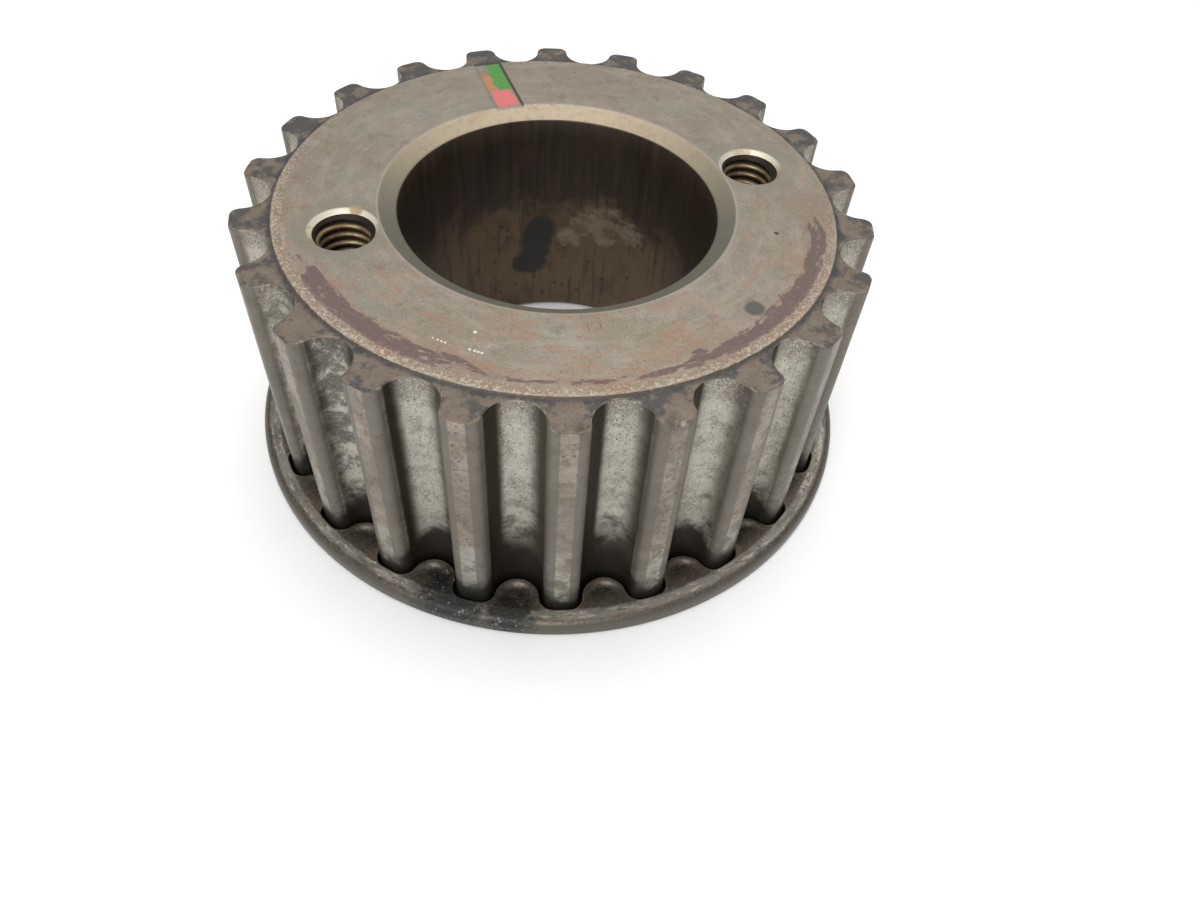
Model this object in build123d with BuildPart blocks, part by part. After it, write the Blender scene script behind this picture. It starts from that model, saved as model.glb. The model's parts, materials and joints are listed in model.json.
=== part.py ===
from build123d import *
import math
import os

# Timing belt pulley: a one-piece toothed body with a belt guide flange pressed
# onto the back of its teeth. All sizes are in millimetres.
# The origin is the centre of the bore at the back face. +Z runs along the bore
# to the raised front face, and the timing mark is cut on the +Y side.

# ---------------------------------------------------------------- belt and teeth
tooth_count = 22
belt_pitch = 9.525            # 3/8 inch automotive timing belt
pitch_line_offset = 0.686     # the belt's cords run this far outside the tooth tips
groove_depth = 3.5
groove_radius = 2.7           # rounded bottom of each groove
flank_flare = 10.0            # degrees by which each flank opens outward
tip_rounding = 1.0
tooth_edge_chamfer = 0.2      # broken edge of the teeth at the front

# ---------------------------------------------------------------- body
rim_height = 28.5             # toothed rim, from the back face to its front
face_rise = 0.25              # the clamping face stands proud of the rim
face_ledge = 0.45             # rim left between the raised face and the groove bottoms
face_edge_rounding = 0.15
bore_diameter = 33.0
front_lead_in_width = 1.85    # flat cone that leads into the bore at the front
front_lead_in_angle = 120.0   # between opposite sides of the cone
back_lead_in = 0.65

# ---------------------------------------------------------------- puller holes, M6 x 1
puller_circle_diameter = 44.0
puller_hole_count = 2
thread_minor_diameter = 5.0
puller_countersink_diameter = 7.0
puller_countersink_angle = 90.0

# ---------------------------------------------------------------- timing mark
mark_width = 3.1
mark_depth = 0.2

# ---------------------------------------------------------------- guide flange
flange_thickness = 1.9
flange_overhang = 2.35        # beyond the tooth tips
flange_rim_rounding = 0.9     # rolled front edge of the rim
flange_back_rounding = 0.3
grip_land = 0.8               # height at the back over which the flange grips the teeth
aperture_gap = 0.4            # relief between the teeth and the flange above the grip
dimple_wall = 0.35            # thin lip left round the dimple in each flange lobe
dimple_depth = 0.4

# ---------------------------------------------------------------- worked-out sizes
tooth_angle = 360 / tooth_count
tip_radius = tooth_count * belt_pitch / (2 * math.pi) - pitch_line_offset
root_radius = tip_radius - groove_depth
face_radius = root_radius - face_ledge
front = rim_height + face_rise
bore_radius = bore_diameter / 2
mark_angle = 90.0
first_groove_angle = mark_angle + tooth_angle / 2
lead_in_radius = bore_radius + front_lead_in_width
flange_radius = tip_radius + flange_overhang
dimple_reach = tip_radius + aperture_gap - dimple_wall


def groove_outline(shrink):
    """One belt groove, opening along +X, with its sides moved inward by shrink."""
    radius = groove_radius - shrink
    centre = root_radius + groove_radius
    across = radius * math.cos(math.radians(flank_flare))
    along = radius * math.sin(math.radians(flank_flare))
    flank_length = 2 * groove_depth
    with BuildSketch() as groove:
        with BuildLine():
            bottom = ThreePointArc(
                (centre - along, -across), (centre - radius, 0), (centre - along, across)
            )
            upper = PolarLine(bottom @ 1, flank_length, flank_flare)
            lower = PolarLine(bottom @ 0, flank_length, -flank_flare)
            Line(upper @ 1, lower @ 1)
        make_face()
    return groove.sketch


def tooth_outline(growth):
    """Cross-section through the teeth, with its whole edge moved outward by growth."""
    groove = groove_outline(growth)
    with BuildSketch() as outline:
        with PolarLocations(0, 1, start_angle=first_groove_angle):
            Circle(tip_radius + growth)
        with PolarLocations(0, tooth_count, start_angle=first_groove_angle):
            add(groove, mode=Mode.SUBTRACT)
        fillet(outline.vertices().group_by(SortBy.DISTANCE)[-1], tip_rounding + growth)
    return outline.sketch


# ---------------------------------------------------------------- sprocket body
with BuildPart() as sprocket_body:
    # toothed rim
    with BuildSketch(Plane.XY):
        add(tooth_outline(0))
    extrude(amount=rim_height)
    rim_front = sprocket_body.faces().sort_by(Axis.Z)[-1]
    chamfer(rim_front.edges(), tooth_edge_chamfer)

    # raised clamping face
    with BuildSketch(Plane.XY.offset(rim_height)):
        Circle(face_radius)
    extrude(amount=face_rise)
    face_edge = sprocket_body.faces().sort_by(Axis.Z)[-1].edges()
    fillet(face_edge, face_edge_rounding)

    # bore with a flat lead-in cone at the front and a small one at the back
    with Locations(Plane.XY.offset(front)):
        CounterSinkHole(bore_radius, lead_in_radius, counter_sink_angle=front_lead_in_angle)
    back_face = sprocket_body.faces().sort_by(Axis.Z)[0]
    chamfer(back_face.inner_wires().edges(), back_lead_in)

    # tapped puller holes, countersunk at both ends
    for end_plane in (Plane.XY.offset(front), Plane.XY.rotated((180, 0, 0))):
        with Locations(end_plane):
            with PolarLocations(puller_circle_diameter / 2, puller_hole_count):
                CounterSinkHole(
                    thread_minor_diameter / 2,
                    puller_countersink_diameter / 2,
                    counter_sink_angle=puller_countersink_angle,
                )

    # timing mark: a shallow channel across the raised face, in line with a tooth
    with BuildSketch(Plane.XY.offset(front)):
        with Locations((0, face_radius)):
            Rectangle(mark_width, 2 * (face_radius - bore_radius))
    extrude(amount=-mark_depth, mode=Mode.SUBTRACT)

sprocket_body.part.label = "sprocket_body"

# ---------------------------------------------------------------- guide flange
with BuildPart() as guide_flange:
    # lower layer grips the teeth, the layer above stands clear of them
    with BuildSketch(Plane.XY):
        Circle(flange_radius)
        add(tooth_outline(0), mode=Mode.SUBTRACT)
    extrude(amount=grip_land)
    with BuildSketch(Plane.XY.offset(grip_land)):
        Circle(flange_radius)
        add(tooth_outline(aperture_gap), mode=Mode.SUBTRACT)
    extrude(amount=flange_thickness - grip_land)

    # rolled rim
    rim_edges = guide_flange.edges().filter_by(GeomType.CIRCLE)
    outer_edges = rim_edges.group_by(SortBy.RADIUS)[-1].sort_by(Axis.Z)
    fillet(outer_edges[-1], flange_rim_rounding)
    fillet(outer_edges[0], flange_back_rounding)

    # punched dimple in each lobe between the teeth
    dimple = groove_outline(aperture_gap + dimple_wall)
    with BuildSketch(Plane.XY.offset(flange_thickness)):
        with PolarLocations(0, tooth_count, start_angle=first_groove_angle):
            add(dimple)
        Circle(dimple_reach, mode=Mode.INTERSECT)
    extrude(amount=-dimple_depth, mode=Mode.SUBTRACT)

guide_flange.part.label = "guide_flange"

# ---------------------------------------------------------------- files
os.makedirs("parts", exist_ok=True)
export_step(sprocket_body.part, "parts/sprocket_body.step")
export_step(guide_flange.part, "parts/guide_flange.step")
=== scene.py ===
"""Timing belt pulley: a toothed body of sintered steel with a pressed guide flange on its back.

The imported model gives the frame. Each piece is a surface worked out with numpy on a grid of rows
and columns, and each finish is a small class that builds one material. The surfaces are worked out
in millimetres, and MM turns them into the metres of the scene.
"""

import json
import logging
import math
from dataclasses import dataclass, field
from enum import IntEnum

import bpy
import numpy as np
from mathutils import Matrix, Vector


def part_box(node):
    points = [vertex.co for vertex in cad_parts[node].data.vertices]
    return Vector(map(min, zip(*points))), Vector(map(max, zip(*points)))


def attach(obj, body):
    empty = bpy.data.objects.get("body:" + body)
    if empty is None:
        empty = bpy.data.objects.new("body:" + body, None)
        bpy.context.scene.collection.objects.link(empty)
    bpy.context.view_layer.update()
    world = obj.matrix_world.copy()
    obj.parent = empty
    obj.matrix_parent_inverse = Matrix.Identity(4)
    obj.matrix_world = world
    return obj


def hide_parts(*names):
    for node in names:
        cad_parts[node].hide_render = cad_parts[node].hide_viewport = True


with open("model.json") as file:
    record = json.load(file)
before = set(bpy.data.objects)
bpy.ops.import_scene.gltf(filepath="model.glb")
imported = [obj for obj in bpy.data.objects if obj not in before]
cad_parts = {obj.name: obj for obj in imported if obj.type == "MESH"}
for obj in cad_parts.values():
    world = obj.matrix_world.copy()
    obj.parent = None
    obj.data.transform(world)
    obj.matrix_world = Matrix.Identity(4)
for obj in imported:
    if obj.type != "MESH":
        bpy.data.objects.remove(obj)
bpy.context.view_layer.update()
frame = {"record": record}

MM = 0.001
TURN = 2 * math.pi
AROUND_RADIUS = 27.0
AROUND_STRETCH = 3.2
log = logging.getLogger("timing_belt_pulley")

Socket = bpy.types.NodeSocket
Value = Socket | float
Colour = tuple[float, float, float]
Paint = Socket | Colour


# ---------------------------------------------------------------- helpers for the surfaces
def soft_max(first: np.ndarray, second: np.ndarray | float, blend: float) -> np.ndarray:
    """The larger of two heights, with the crease between them rounded.

    Formula: the plain maximum, plus a quarter of blend times the square of how far the two
    overlap within blend, which is a parabola across the crease.

    Args:
        first: heights in millimetres.
        second: heights to compare with.
        blend: width of the rounding, in millimetres.

    Returns:
        The blended heights.
    """
    near = np.clip(1 - np.abs(first - second) / blend, 0, None)
    return np.maximum(first, second) + blend * near**2 / 4


def ease(values: np.ndarray, start: float, end: float) -> np.ndarray:
    """Rises smoothly from 0 at start to 1 at end: three times t squared less twice t cubed."""
    t = np.clip((values - start) / (end - start), 0, 1)
    return t * t * (3 - 2 * t)


def lift(xy: np.ndarray, height: np.ndarray | float) -> np.ndarray:
    """Gives flat positions their heights: one in all, one for each row or one for each point."""
    return np.concatenate([xy, np.broadcast_to(height, xy.shape[:-1])[..., None]], -1)


def quarter_round(steps: int) -> tuple[np.ndarray, np.ndarray]:
    """Sine and cosine of an angle that goes from 0 to 90 degrees in equal steps."""
    angle = np.linspace(0, math.pi / 2, steps + 1)
    return np.sin(angle), np.cos(angle)


def ripple(points: np.ndarray, length: float, seed: int) -> np.ndarray:
    """Gentle unevenness between -1 and 1: the mean of six sine waves in fixed random directions.

    Args:
        points: positions in millimetres, with x, y and z last.
        length: typical wave length in millimetres.
        seed: chooses the directions and phases.

    Returns:
        One value for each position.
    """
    chance = np.random.default_rng(seed)
    heading = chance.normal(size=(6, 3))
    heading /= np.linalg.norm(heading, axis=1, keepdims=True)
    phase = chance.uniform(0, TURN, 6)
    stretch = chance.uniform(0.6, 1.7, 6)
    waves = np.sin(points @ heading.T * (TURN / length * stretch) + phase)
    return waves.mean(-1)


# ---------------------------------------------------------------- mesh building
@dataclass
class Shell:
    """A closed surface gathered from patches that share their border points."""

    channels: tuple[str, ...]
    points: list[np.ndarray] = field(default_factory=list)
    values: list[np.ndarray] = field(default_factory=list)
    faces: list[tuple[np.ndarray, np.ndarray]] = field(default_factory=list)
    total: int = 0

    def place(self, xyz: np.ndarray, **values: np.ndarray | float) -> np.ndarray:
        """Adds a grid of points.

        Args:
            xyz: positions in millimetres, with x, y and z last.
            values: one value or one grid of values for each named channel.

        Returns:
            The numbers of the new points, in the shape of the grid.
        """
        shape = xyz.shape[:-1]
        self.points.append(xyz.reshape(-1, 3))
        layers = [np.broadcast_to(values.get(name, 0.0), shape).ravel() for name in self.channels]
        self.values.append(np.array(layers).T)
        numbers = np.arange(self.total, self.total + math.prod(shape)).reshape(shape)
        self.total += numbers.size
        return numbers

    def add_faces(self, corners: np.ndarray, zone: np.ndarray | int) -> None:
        """Adds faces of three or four corners, each with the number of its material."""
        self.faces.append((corners, np.broadcast_to(zone, len(corners))))

    def weave(self, numbers: np.ndarray, zone: np.ndarray | int, gap: np.ndarray | None = None) -> None:
        """Covers a grid that closes on itself along its columns with four-sided faces.

        Args:
            numbers: point numbers by row and column.
            zone: material number, one for all or one for each pair of rows.
            gap: cells to leave out, by row and column.
        """
        around = np.concatenate([numbers, numbers[:, :1]], axis=1)
        cells = np.stack([around[:-1, :-1], around[1:, :-1], around[1:, 1:], around[:-1, 1:]], -1)
        zones = np.broadcast_to(np.reshape(zone, (-1, 1)), cells.shape[:2])
        keep = np.ones(cells.shape[:2], bool) if gap is None else ~gap
        self.add_faces(cells[keep], zones[keep])

    def halve(self, many: np.ndarray, few: np.ndarray, zone: int, outward: bool) -> None:
        """Joins a closed row of points to a row with half as many, by three triangles a step.

        Args:
            many: point numbers of the longer row.
            few: point numbers of the shorter row, which starts beside the longer one's start.
            zone: material number.
            outward: whether the longer row comes before the shorter one in the grid's order.
        """
        start, middle, end = many[::2], many[1::2], np.roll(many[::2], -1)
        near, far = few, np.roll(few, -1)
        fans = np.concatenate([
            np.stack([start, near, middle], 1),
            np.stack([near, far, middle], 1),
            np.stack([far, end, middle], 1),
        ])
        self.add_faces(fans if outward else fans[:, ::-1], zone)

    def make(self, name: str, materials: list[bpy.types.Material]) -> bpy.types.Object:
        """Turns the gathered patches into one smooth-shaded object at the origin.

        Args:
            name: name of the piece.
            materials: finishes in the order of the zone numbers.

        Returns:
            The new object.
        """
        points = np.concatenate(self.points)
        values = np.concatenate(self.values)
        corners = np.concatenate([c.ravel() for c, _ in self.faces])
        sizes = np.concatenate([np.full(len(c), c.shape[1]) for c, _ in self.faces])
        zones = np.concatenate([z for _, z in self.faces])
        used, corners = np.unique(corners, return_inverse=True)

        mesh = bpy.data.meshes.new(name)
        mesh.vertices.add(len(used))
        mesh.vertices.foreach_set("co", (points[used] * MM).astype(np.float32).ravel())
        mesh.loops.add(len(corners))
        mesh.loops.foreach_set("vertex_index", corners.astype(np.int32))
        mesh.polygons.add(len(sizes))
        mesh.polygons.foreach_set("loop_start", (np.cumsum(sizes) - sizes).astype(np.int32))
        mesh.polygons.foreach_set("material_index", zones.astype(np.int32))
        mesh.polygons.foreach_set("use_smooth", np.ones(len(sizes), bool))
        for column, channel in enumerate(self.channels):
            layer = mesh.attributes.new(channel, "FLOAT", "POINT")
            layer.data.foreach_set("value", values[used, column].astype(np.float32))
        for material in materials:
            mesh.materials.append(material)
        mesh.update(calc_edges=True)
        piece = bpy.data.objects.new(name, mesh)
        bpy.context.scene.collection.objects.link(piece)
        return piece


# ---------------------------------------------------------------- the shape of the teeth
@dataclass(frozen=True)
class ToothForm:
    """Cross-section of the belt teeth: round-bottomed grooves with flaring flanks."""

    tip_radius: float
    tooth_count: int = 22
    groove_depth: float = 3.5
    groove_radius: float = 2.7
    flank_flare: float = 10.0
    tip_rounding: float = 1.0
    mark_angle: float = 90.0
    arc_steps: int = 12
    flank_steps: int = 2
    rounding_steps: int = 5
    land_steps: int = 5

    @property
    def pitch_angle(self) -> float:
        """Angle from one tooth to the next, in degrees."""
        return 360 / self.tooth_count

    @property
    def root_radius(self) -> float:
        """Distance from the axis to the bottom of a groove."""
        return self.tip_radius - self.groove_depth

    @property
    def groove_centre(self) -> float:
        """Distance from the axis to the centre of a groove's round bottom."""
        return self.root_radius + self.groove_radius

    @property
    def half_steps(self) -> int:
        """Steps from the middle of a groove to the middle of a tooth."""
        return self.arc_steps + self.flank_steps + self.rounding_steps + self.land_steps

    @property
    def columns(self) -> int:
        """Points in the whole outline."""
        return 2 * self.half_steps * self.tooth_count

    def angles(self, columns: int) -> np.ndarray:
        """Even angles in radians, the first on the middle of a groove."""
        first = math.radians(self.mark_angle + self.pitch_angle / 2)
        return first + np.arange(columns) * TURN / columns

    def half_tooth(self) -> tuple[np.ndarray, np.ndarray, np.ndarray]:
        """From the middle of a groove on the X axis to the middle of the tooth beside it.

        Formula: an arc about the groove's centre, then a straight flank, then a small arc that
        touches both the flank and the tip circle, then the tip circle.

        Returns:
            Points, outward directions, and how much each point belongs to the rounded corner.
        """
        flare = math.radians(self.flank_flare)
        centre = np.array([self.groove_centre, 0.0])
        turn = np.linspace(math.pi, math.pi / 2 + flare, self.arc_steps + 1)
        arc_way = -np.stack([np.cos(turn), np.sin(turn)], 1)
        arc = centre - self.groove_radius * arc_way

        flank_way = np.array([math.sin(flare), -math.cos(flare)])
        along = np.array([math.cos(flare), math.sin(flare)])
        foot = arc[-1] - self.tip_rounding * flank_way
        reach = self.tip_radius - self.tip_rounding
        slide = math.sqrt((foot @ along) ** 2 - foot @ foot + reach**2) - foot @ along
        corner = foot + slide * along
        steps = np.linspace(0, 1, self.flank_steps + 1)[1:-1, None]
        flank = arc[-1] + steps * slide * along

        tip_angle = math.atan2(corner[1], corner[0])
        swing = np.linspace(math.atan2(flank_way[1], flank_way[0]), tip_angle, self.rounding_steps + 1)
        round_way = np.stack([np.cos(swing), np.sin(swing)], 1)
        rounding = corner + self.tip_rounding * round_way

        land_angle = np.linspace(tip_angle, math.radians(self.pitch_angle / 2), self.land_steps + 1)[1:]
        land_way = np.stack([np.cos(land_angle), np.sin(land_angle)], 1)
        land = self.tip_radius * land_way

        points = np.concatenate([arc, flank, rounding, land])
        ways = np.concatenate([arc_way, np.tile(flank_way, (len(flank), 1)), round_way, land_way])
        bend = np.zeros(len(points))
        bend[-self.land_steps - self.rounding_steps - 1 : -self.land_steps] = 1
        return points, ways, bend

    def outline(self) -> tuple[np.ndarray, np.ndarray, np.ndarray, np.ndarray]:
        """The whole closed outline, anticlockwise from the middle of the first groove.

        Returns:
            Points, outward directions, rounded corners, and the distance across each groove
            from its middle, which is negative on the clockwise side.
        """
        points, ways, bend = self.half_tooth()
        pitch = math.radians(self.pitch_angle)
        back = np.array([[math.cos(pitch), math.sin(pitch)], [-math.sin(pitch), math.cos(pitch)]])
        mirrored = np.array([1.0, -1.0])
        one_points = np.concatenate([points, (points[-2:0:-1] * mirrored) @ back])
        one_ways = np.concatenate([ways, (ways[-2:0:-1] * mirrored) @ back])
        one_bend = np.concatenate([bend, bend[-2:0:-1]])
        one_across = np.concatenate([points[:, 1], -points[-2:0:-1, 1]])

        turns = self.angles(self.tooth_count)
        cos, sin = np.cos(turns), np.sin(turns)
        spin = np.stack([np.stack([cos, sin], -1), np.stack([-sin, cos], -1)], 1)
        all_points = np.einsum("pi,tij->tpj", one_points, spin).reshape(-1, 2)
        all_ways = np.einsum("pi,tij->tpj", one_ways, spin).reshape(-1, 2)
        return all_points, all_ways, np.tile(one_bend, len(turns)), np.tile(one_across, len(turns))


@dataclass(frozen=True)
class Dent:
    """A knock in an edge: where it is, how far it spreads and how deep it goes."""

    angle: float
    radius: float
    height: float
    spread: tuple[float, float, float]
    depth: float

    def push(self, points: np.ndarray) -> np.ndarray:
        """Moves points inward and down inside the dent.

        Formula: the depth times one less the distance from the dent's centre, where distance is
        counted in spreads along, towards and up the edge, and is never under zero.

        Args:
            points: positions in millimetres, with x, y and z last.

        Returns:
            The moved positions.
        """
        turn = math.radians(self.angle)
        out = np.array([math.cos(turn), math.sin(turn), 0.0])
        along = np.array([-math.sin(turn), math.cos(turn), 0.0])
        offset = points - (self.radius * out + np.array([0.0, 0.0, self.height]))
        reach = np.stack([offset @ along, offset @ out, offset[..., 2]], -1) / np.array(self.spread)
        share = np.clip(1 - np.linalg.norm(reach, axis=-1), 0, 1)
        rough = 1 + 0.35 * ripple(points, 0.9, seed=17)
        return points - (self.depth * share * rough)[..., None] * (out + np.array([0.0, 0.0, 1.0]))


# ---------------------------------------------------------------- toothed body
class BodyZone(IntEnum):
    """Parts of the toothed body that have a finish of their own, in slot order."""

    FACE = 0
    RIM = 1
    TEETH = 2
    BORE = 3
    THREAD = 4
    BACK = 5


@dataclass(frozen=True)
class TappedHole:
    """A countersunk M6 x 1 hole parallel to the bore, with its thread cut right through."""

    x: float
    length: float
    minor_radius: float
    major_radius: float = 3.0
    countersink_radius: float = 3.5
    pitch: float = 1.0
    crest_phase: float = 0.68
    mouth_radius: float = 3.05
    fine_depth: float = 5.5
    fine_step: float = 0.085
    coarse_step: float = 0.2

    def off_axis(self, xy: np.ndarray) -> np.ndarray:
        """Distance of each point from the hole's own axis."""
        return np.hypot(xy[..., 0] - self.x, xy[..., 1])

    def wall_heights(self) -> np.ndarray:
        """Heights of the wall's rows from the front down, closer together near both ends."""
        mouth = self.countersink_radius - self.mouth_radius + 0.06
        bottom = self.length - mouth
        fine = np.arange(mouth, self.fine_depth, self.fine_step)
        coarse = np.arange(self.fine_depth, self.length - self.fine_depth, self.coarse_step)
        last = np.arange(self.length - self.fine_depth, bottom + 1e-6, self.fine_step)
        return self.length - np.concatenate([fine, coarse, last])

    def wall_radius(self, angle: np.ndarray, height: np.ndarray) -> tuple[np.ndarray, np.ndarray]:
        """Radius of the wall: the countersinks or the thread, whichever is wider.

        Formula: the thread's phase is the height in pitches less the angle in turns. The radius
        is the minor one over the middle quarter of a pitch, the major one over an eighth of a
        pitch between the crests, and rises in a straight line between them.

        Args:
            angle: angles about the hole's axis, in radians.
            height: heights above the back face.

        Returns:
            The radius, and how near to a thread crest each point is.
        """
        phase = (height / self.pitch - angle / TURN + self.crest_phase) % 1 - 0.5
        climb = np.clip((np.abs(phase) - 1 / 8) / (7 / 16 - 1 / 8), 0, 1)
        thread = self.minor_radius + (self.major_radius - self.minor_radius) * climb
        cone = self.countersink_radius - np.minimum(height, self.length - height)
        wall = soft_max(thread, cone, 0.05)
        return wall, (1 - climb) * (thread >= cone)


@dataclass
class SprocketBody:
    """The one-piece toothed body: bore, raised clamping face, puller holes and belt teeth."""

    tooth: ToothForm
    front: float
    bore_radius: float
    hole_circle_radius: float
    thread_minor_radius: float
    face_rise: float = 0.25
    face_ledge: float = 0.45
    face_rounding: float = 0.15
    lead_width: float = 1.85
    lead_angle: float = 120.0
    back_lead: float = 0.65
    mark_width: float = 3.1
    mark_depth: float = 0.2
    mark_softness: float = 0.13
    tooth_edge: float = 0.2
    back_edge: float = 0.12
    face_foot: float = 0.08
    crease: float = 0.05
    edge_fade: float = 0.22
    hole_patch_reach: float = 4.4
    unevenness: float = 0.02
    crest_phases: tuple[float, float] = (0.66, 0.684)
    dents: tuple[Dent, ...] = ()

    @property
    def rim(self) -> float:
        """Height of the toothed rim's front."""
        return self.front - self.face_rise

    @property
    def face_radius(self) -> float:
        """Radius of the raised face."""
        return self.tooth.root_radius - self.face_ledge

    @property
    def lead_depth(self) -> float:
        """Depth of the front lead-in cone, from its width and the angle between its sides."""
        return self.lead_width / math.tan(math.radians(self.lead_angle / 2))

    def holes(self) -> tuple[TappedHole, TappedHole]:
        """The two puller holes, opposite each other on the X axis."""
        right, left = (
            TappedHole(
                side * self.hole_circle_radius, self.front, self.thread_minor_radius, crest_phase=phase
            )
            for side, phase in zip((1, -1), self.crest_phases)
        )
        return right, left

    def circle(self, radius: np.ndarray | float, columns: int) -> np.ndarray:
        """Points on circles, in columns that run straight beside the timing mark.

        Formula: every column keeps an even angle, except within one tooth of the mark. There the
        nearest columns keep a fixed distance from the mark's middle line, three of them on each
        of its edges, and the rest share out the angle that is left.

        Args:
            radius: one radius, or a column of radii.
            columns: points in each circle.

        Returns:
            X and Y of the points, by row and column.
        """
        radius = np.reshape(radius, (-1, 1)).astype(float)
        angle = self.tooth.angles(columns)[None, :]
        middle = math.radians(self.tooth.mark_angle)
        steps = (angle - middle + math.pi) % TURN - math.pi
        steps = steps / math.radians(self.tooth.pitch_angle) * 2 * self.tooth.half_steps
        per_tooth = 2 * self.tooth.half_steps
        half, soft = self.mark_width / 2, self.mark_softness
        kept = 16
        lane_steps = [0, 6, 8, 10, 12, kept]
        lane_places = [0, half - 3 * soft, half - soft, half, half + soft, half + 0.75]
        lane = np.interp(np.abs(steps), lane_steps, lane_places)
        last_angle = np.arcsin(lane_places[-1] / radius)
        share = (np.abs(steps) - kept) / (per_tooth - kept)
        beyond = last_angle + share * (math.radians(self.tooth.pitch_angle) - last_angle)
        bent = np.where(np.abs(steps) < kept, np.arcsin(np.clip(lane / radius, 0, 1)), beyond)
        angle = np.where(np.abs(steps) < per_tooth, middle + np.sign(steps) * bent, angle)
        return np.stack([radius * np.cos(angle), radius * np.sin(angle)], -1)

    def sink(self, xy: np.ndarray, at_front: bool) -> tuple[np.ndarray, np.ndarray]:
        """Depth of the cuts below a flat end face.

        Formula: the deepest of the lead-in cone, the two countersink cones and, at the front, the
        timing channel, each crease rounded by soft_max.

        Args:
            xy: positions in the plane of the face.
            at_front: whether this is the front end.

        Returns:
            The depth, and how far inside a countersink each point is, from 0 to 1.
        """
        width, depth = (self.lead_width, self.lead_depth) if at_front else (self.back_lead,) * 2
        radius = np.hypot(xy[..., 0], xy[..., 1])
        cut = soft_max(depth - (radius - self.bore_radius) * depth / width, 0.0, self.crease)
        recess = np.zeros_like(radius)
        for hole in self.holes():
            cone = hole.countersink_radius - hole.off_axis(xy)
            cut = soft_max(cut, cone, self.crease)
            recess = np.maximum(recess, ease(cone, -0.05, 0.12))
        if at_front:
            beside = np.abs(xy[..., 0])
            edge = self.mark_width / 2
            channel = 1 - ease(beside, edge - self.mark_softness, edge + self.mark_softness)
            cut = soft_max(cut, self.mark_depth * channel * (xy[..., 1] > 0), 0.03)
        return cut, recess

    def end_surface(
        self, xy: np.ndarray, drop: np.ndarray | float, at_front: bool
    ) -> tuple[np.ndarray, np.ndarray]:
        """Points of an end face, with its cuts and the slight unevenness of wear.

        Args:
            xy: positions in the plane of the face.
            drop: depth of the turned profile itself below the face.
            at_front: whether this is the front end.

        Returns:
            Positions, and how far inside a countersink each point is.
        """
        cut, recess = self.sink(xy, at_front)
        worn = self.unevenness * (0.5 + 0.5 * ripple(lift(xy, 0.0), 7.0, seed=3))
        depth = np.maximum(soft_max(cut, np.broadcast_to(drop, cut.shape), 0.02), 0) + worn
        height = self.front - depth if at_front else depth
        return lift(xy, height), recess

    def window_radii(self) -> np.ndarray:
        """Radii of the rows that cross the puller holes' patches."""
        inner = self.bore_radius + self.lead_width + 0.07
        return np.linspace(inner, self.hole_circle_radius + self.hole_patch_reach, 16)

    def turned_rows(self, shell: Shell) -> tuple[np.ndarray, dict[bool, int]]:
        """The rows turned about the axis: back face, bore, lead-in cone, raised face and its step.

        Args:
            shell: where the points go.

        Returns:
            Point numbers by row and column, and the first patch row at each end.
        """
        columns = self.tooth.columns // 2
        window = self.window_radii()
        inset = self.face_radius - self.face_rounding
        outer = np.linspace(window[-1], inset, 6)[1:]
        cone = self.bore_radius + self.lead_width * np.array([0.06, 0.2, 0.4, 0.6, 0.8, 0.93, 1.0])
        lip = self.bore_radius + self.back_lead * np.array([0.12, 0.4, 0.7, 0.9, 1.0, 1.15, 1.7])
        wall = np.linspace(self.back_lead + 0.06, self.front - self.lead_depth - 0.08, 9)
        sine, cosine = quarter_round(4)

        back = np.concatenate([[self.face_radius], outer[::-1][1:], window[::-1], lip[::-1]])
        back_points, back_recess = self.end_surface(self.circle(back, columns), 0.0, at_front=False)
        bore_xy = self.circle(np.full(len(wall), self.bore_radius), columns)
        bore_points = lift(bore_xy, wall[:, None])

        edge = inset + self.face_rounding * sine[1:]
        foot = np.array([self.face_radius, self.face_radius + 0.02, self.face_radius + self.face_foot])
        front = np.concatenate([cone, window, outer, edge, foot])
        flat = len(front) - len(edge) - len(foot)
        fall = self.face_rounding * (1 - cosine[1:])
        drop = np.concatenate([np.zeros(flat), fall, self.face_rise - np.array([0.1, 0.03, 0.0])])
        front_xy = self.circle(front, columns)
        front_points, front_recess = self.end_surface(front_xy, drop[:, None], at_front=True)

        points = np.concatenate([back_points, bore_points, front_points])
        recess = np.concatenate([back_recess, np.zeros(bore_points.shape[:2]), front_recess])
        radius = np.concatenate([back, np.full(len(wall), self.bore_radius), front])
        rise = np.concatenate([np.zeros(len(back)), wall, self.front - drop])
        corner = np.array([
            [self.face_radius - 0.08, self.front - 0.08],
            [self.bore_radius + self.lead_width, self.front],
            [self.bore_radius, self.front - self.lead_depth],
            [self.bore_radius + self.back_lead, 0.0],
        ])
        away = np.hypot(radius[:, None] - corner[:, 0], rise[:, None] - corner[:, 1]).min(1)
        numbers = shell.place(points, recess=recess, edge=np.exp(-away / self.edge_fade)[:, None])
        starts = {False: len(outer), True: len(back) + len(wall) + len(cone)}
        zones = np.full(len(numbers) - 1, BodyZone.FACE)
        zones[: len(back) - len(lip)] = BodyZone.BACK
        zones[len(back) - len(lip) : len(back) + len(wall)] = BodyZone.BORE
        gap = np.zeros((len(numbers) - 1, columns), bool)
        for first in starts.values():
            last = first + len(window) - 1
            for cells in self.patch_columns(columns):
                gap[first:last, cells] = True
        shell.weave(numbers, zones, gap)
        return numbers, starts

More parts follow.
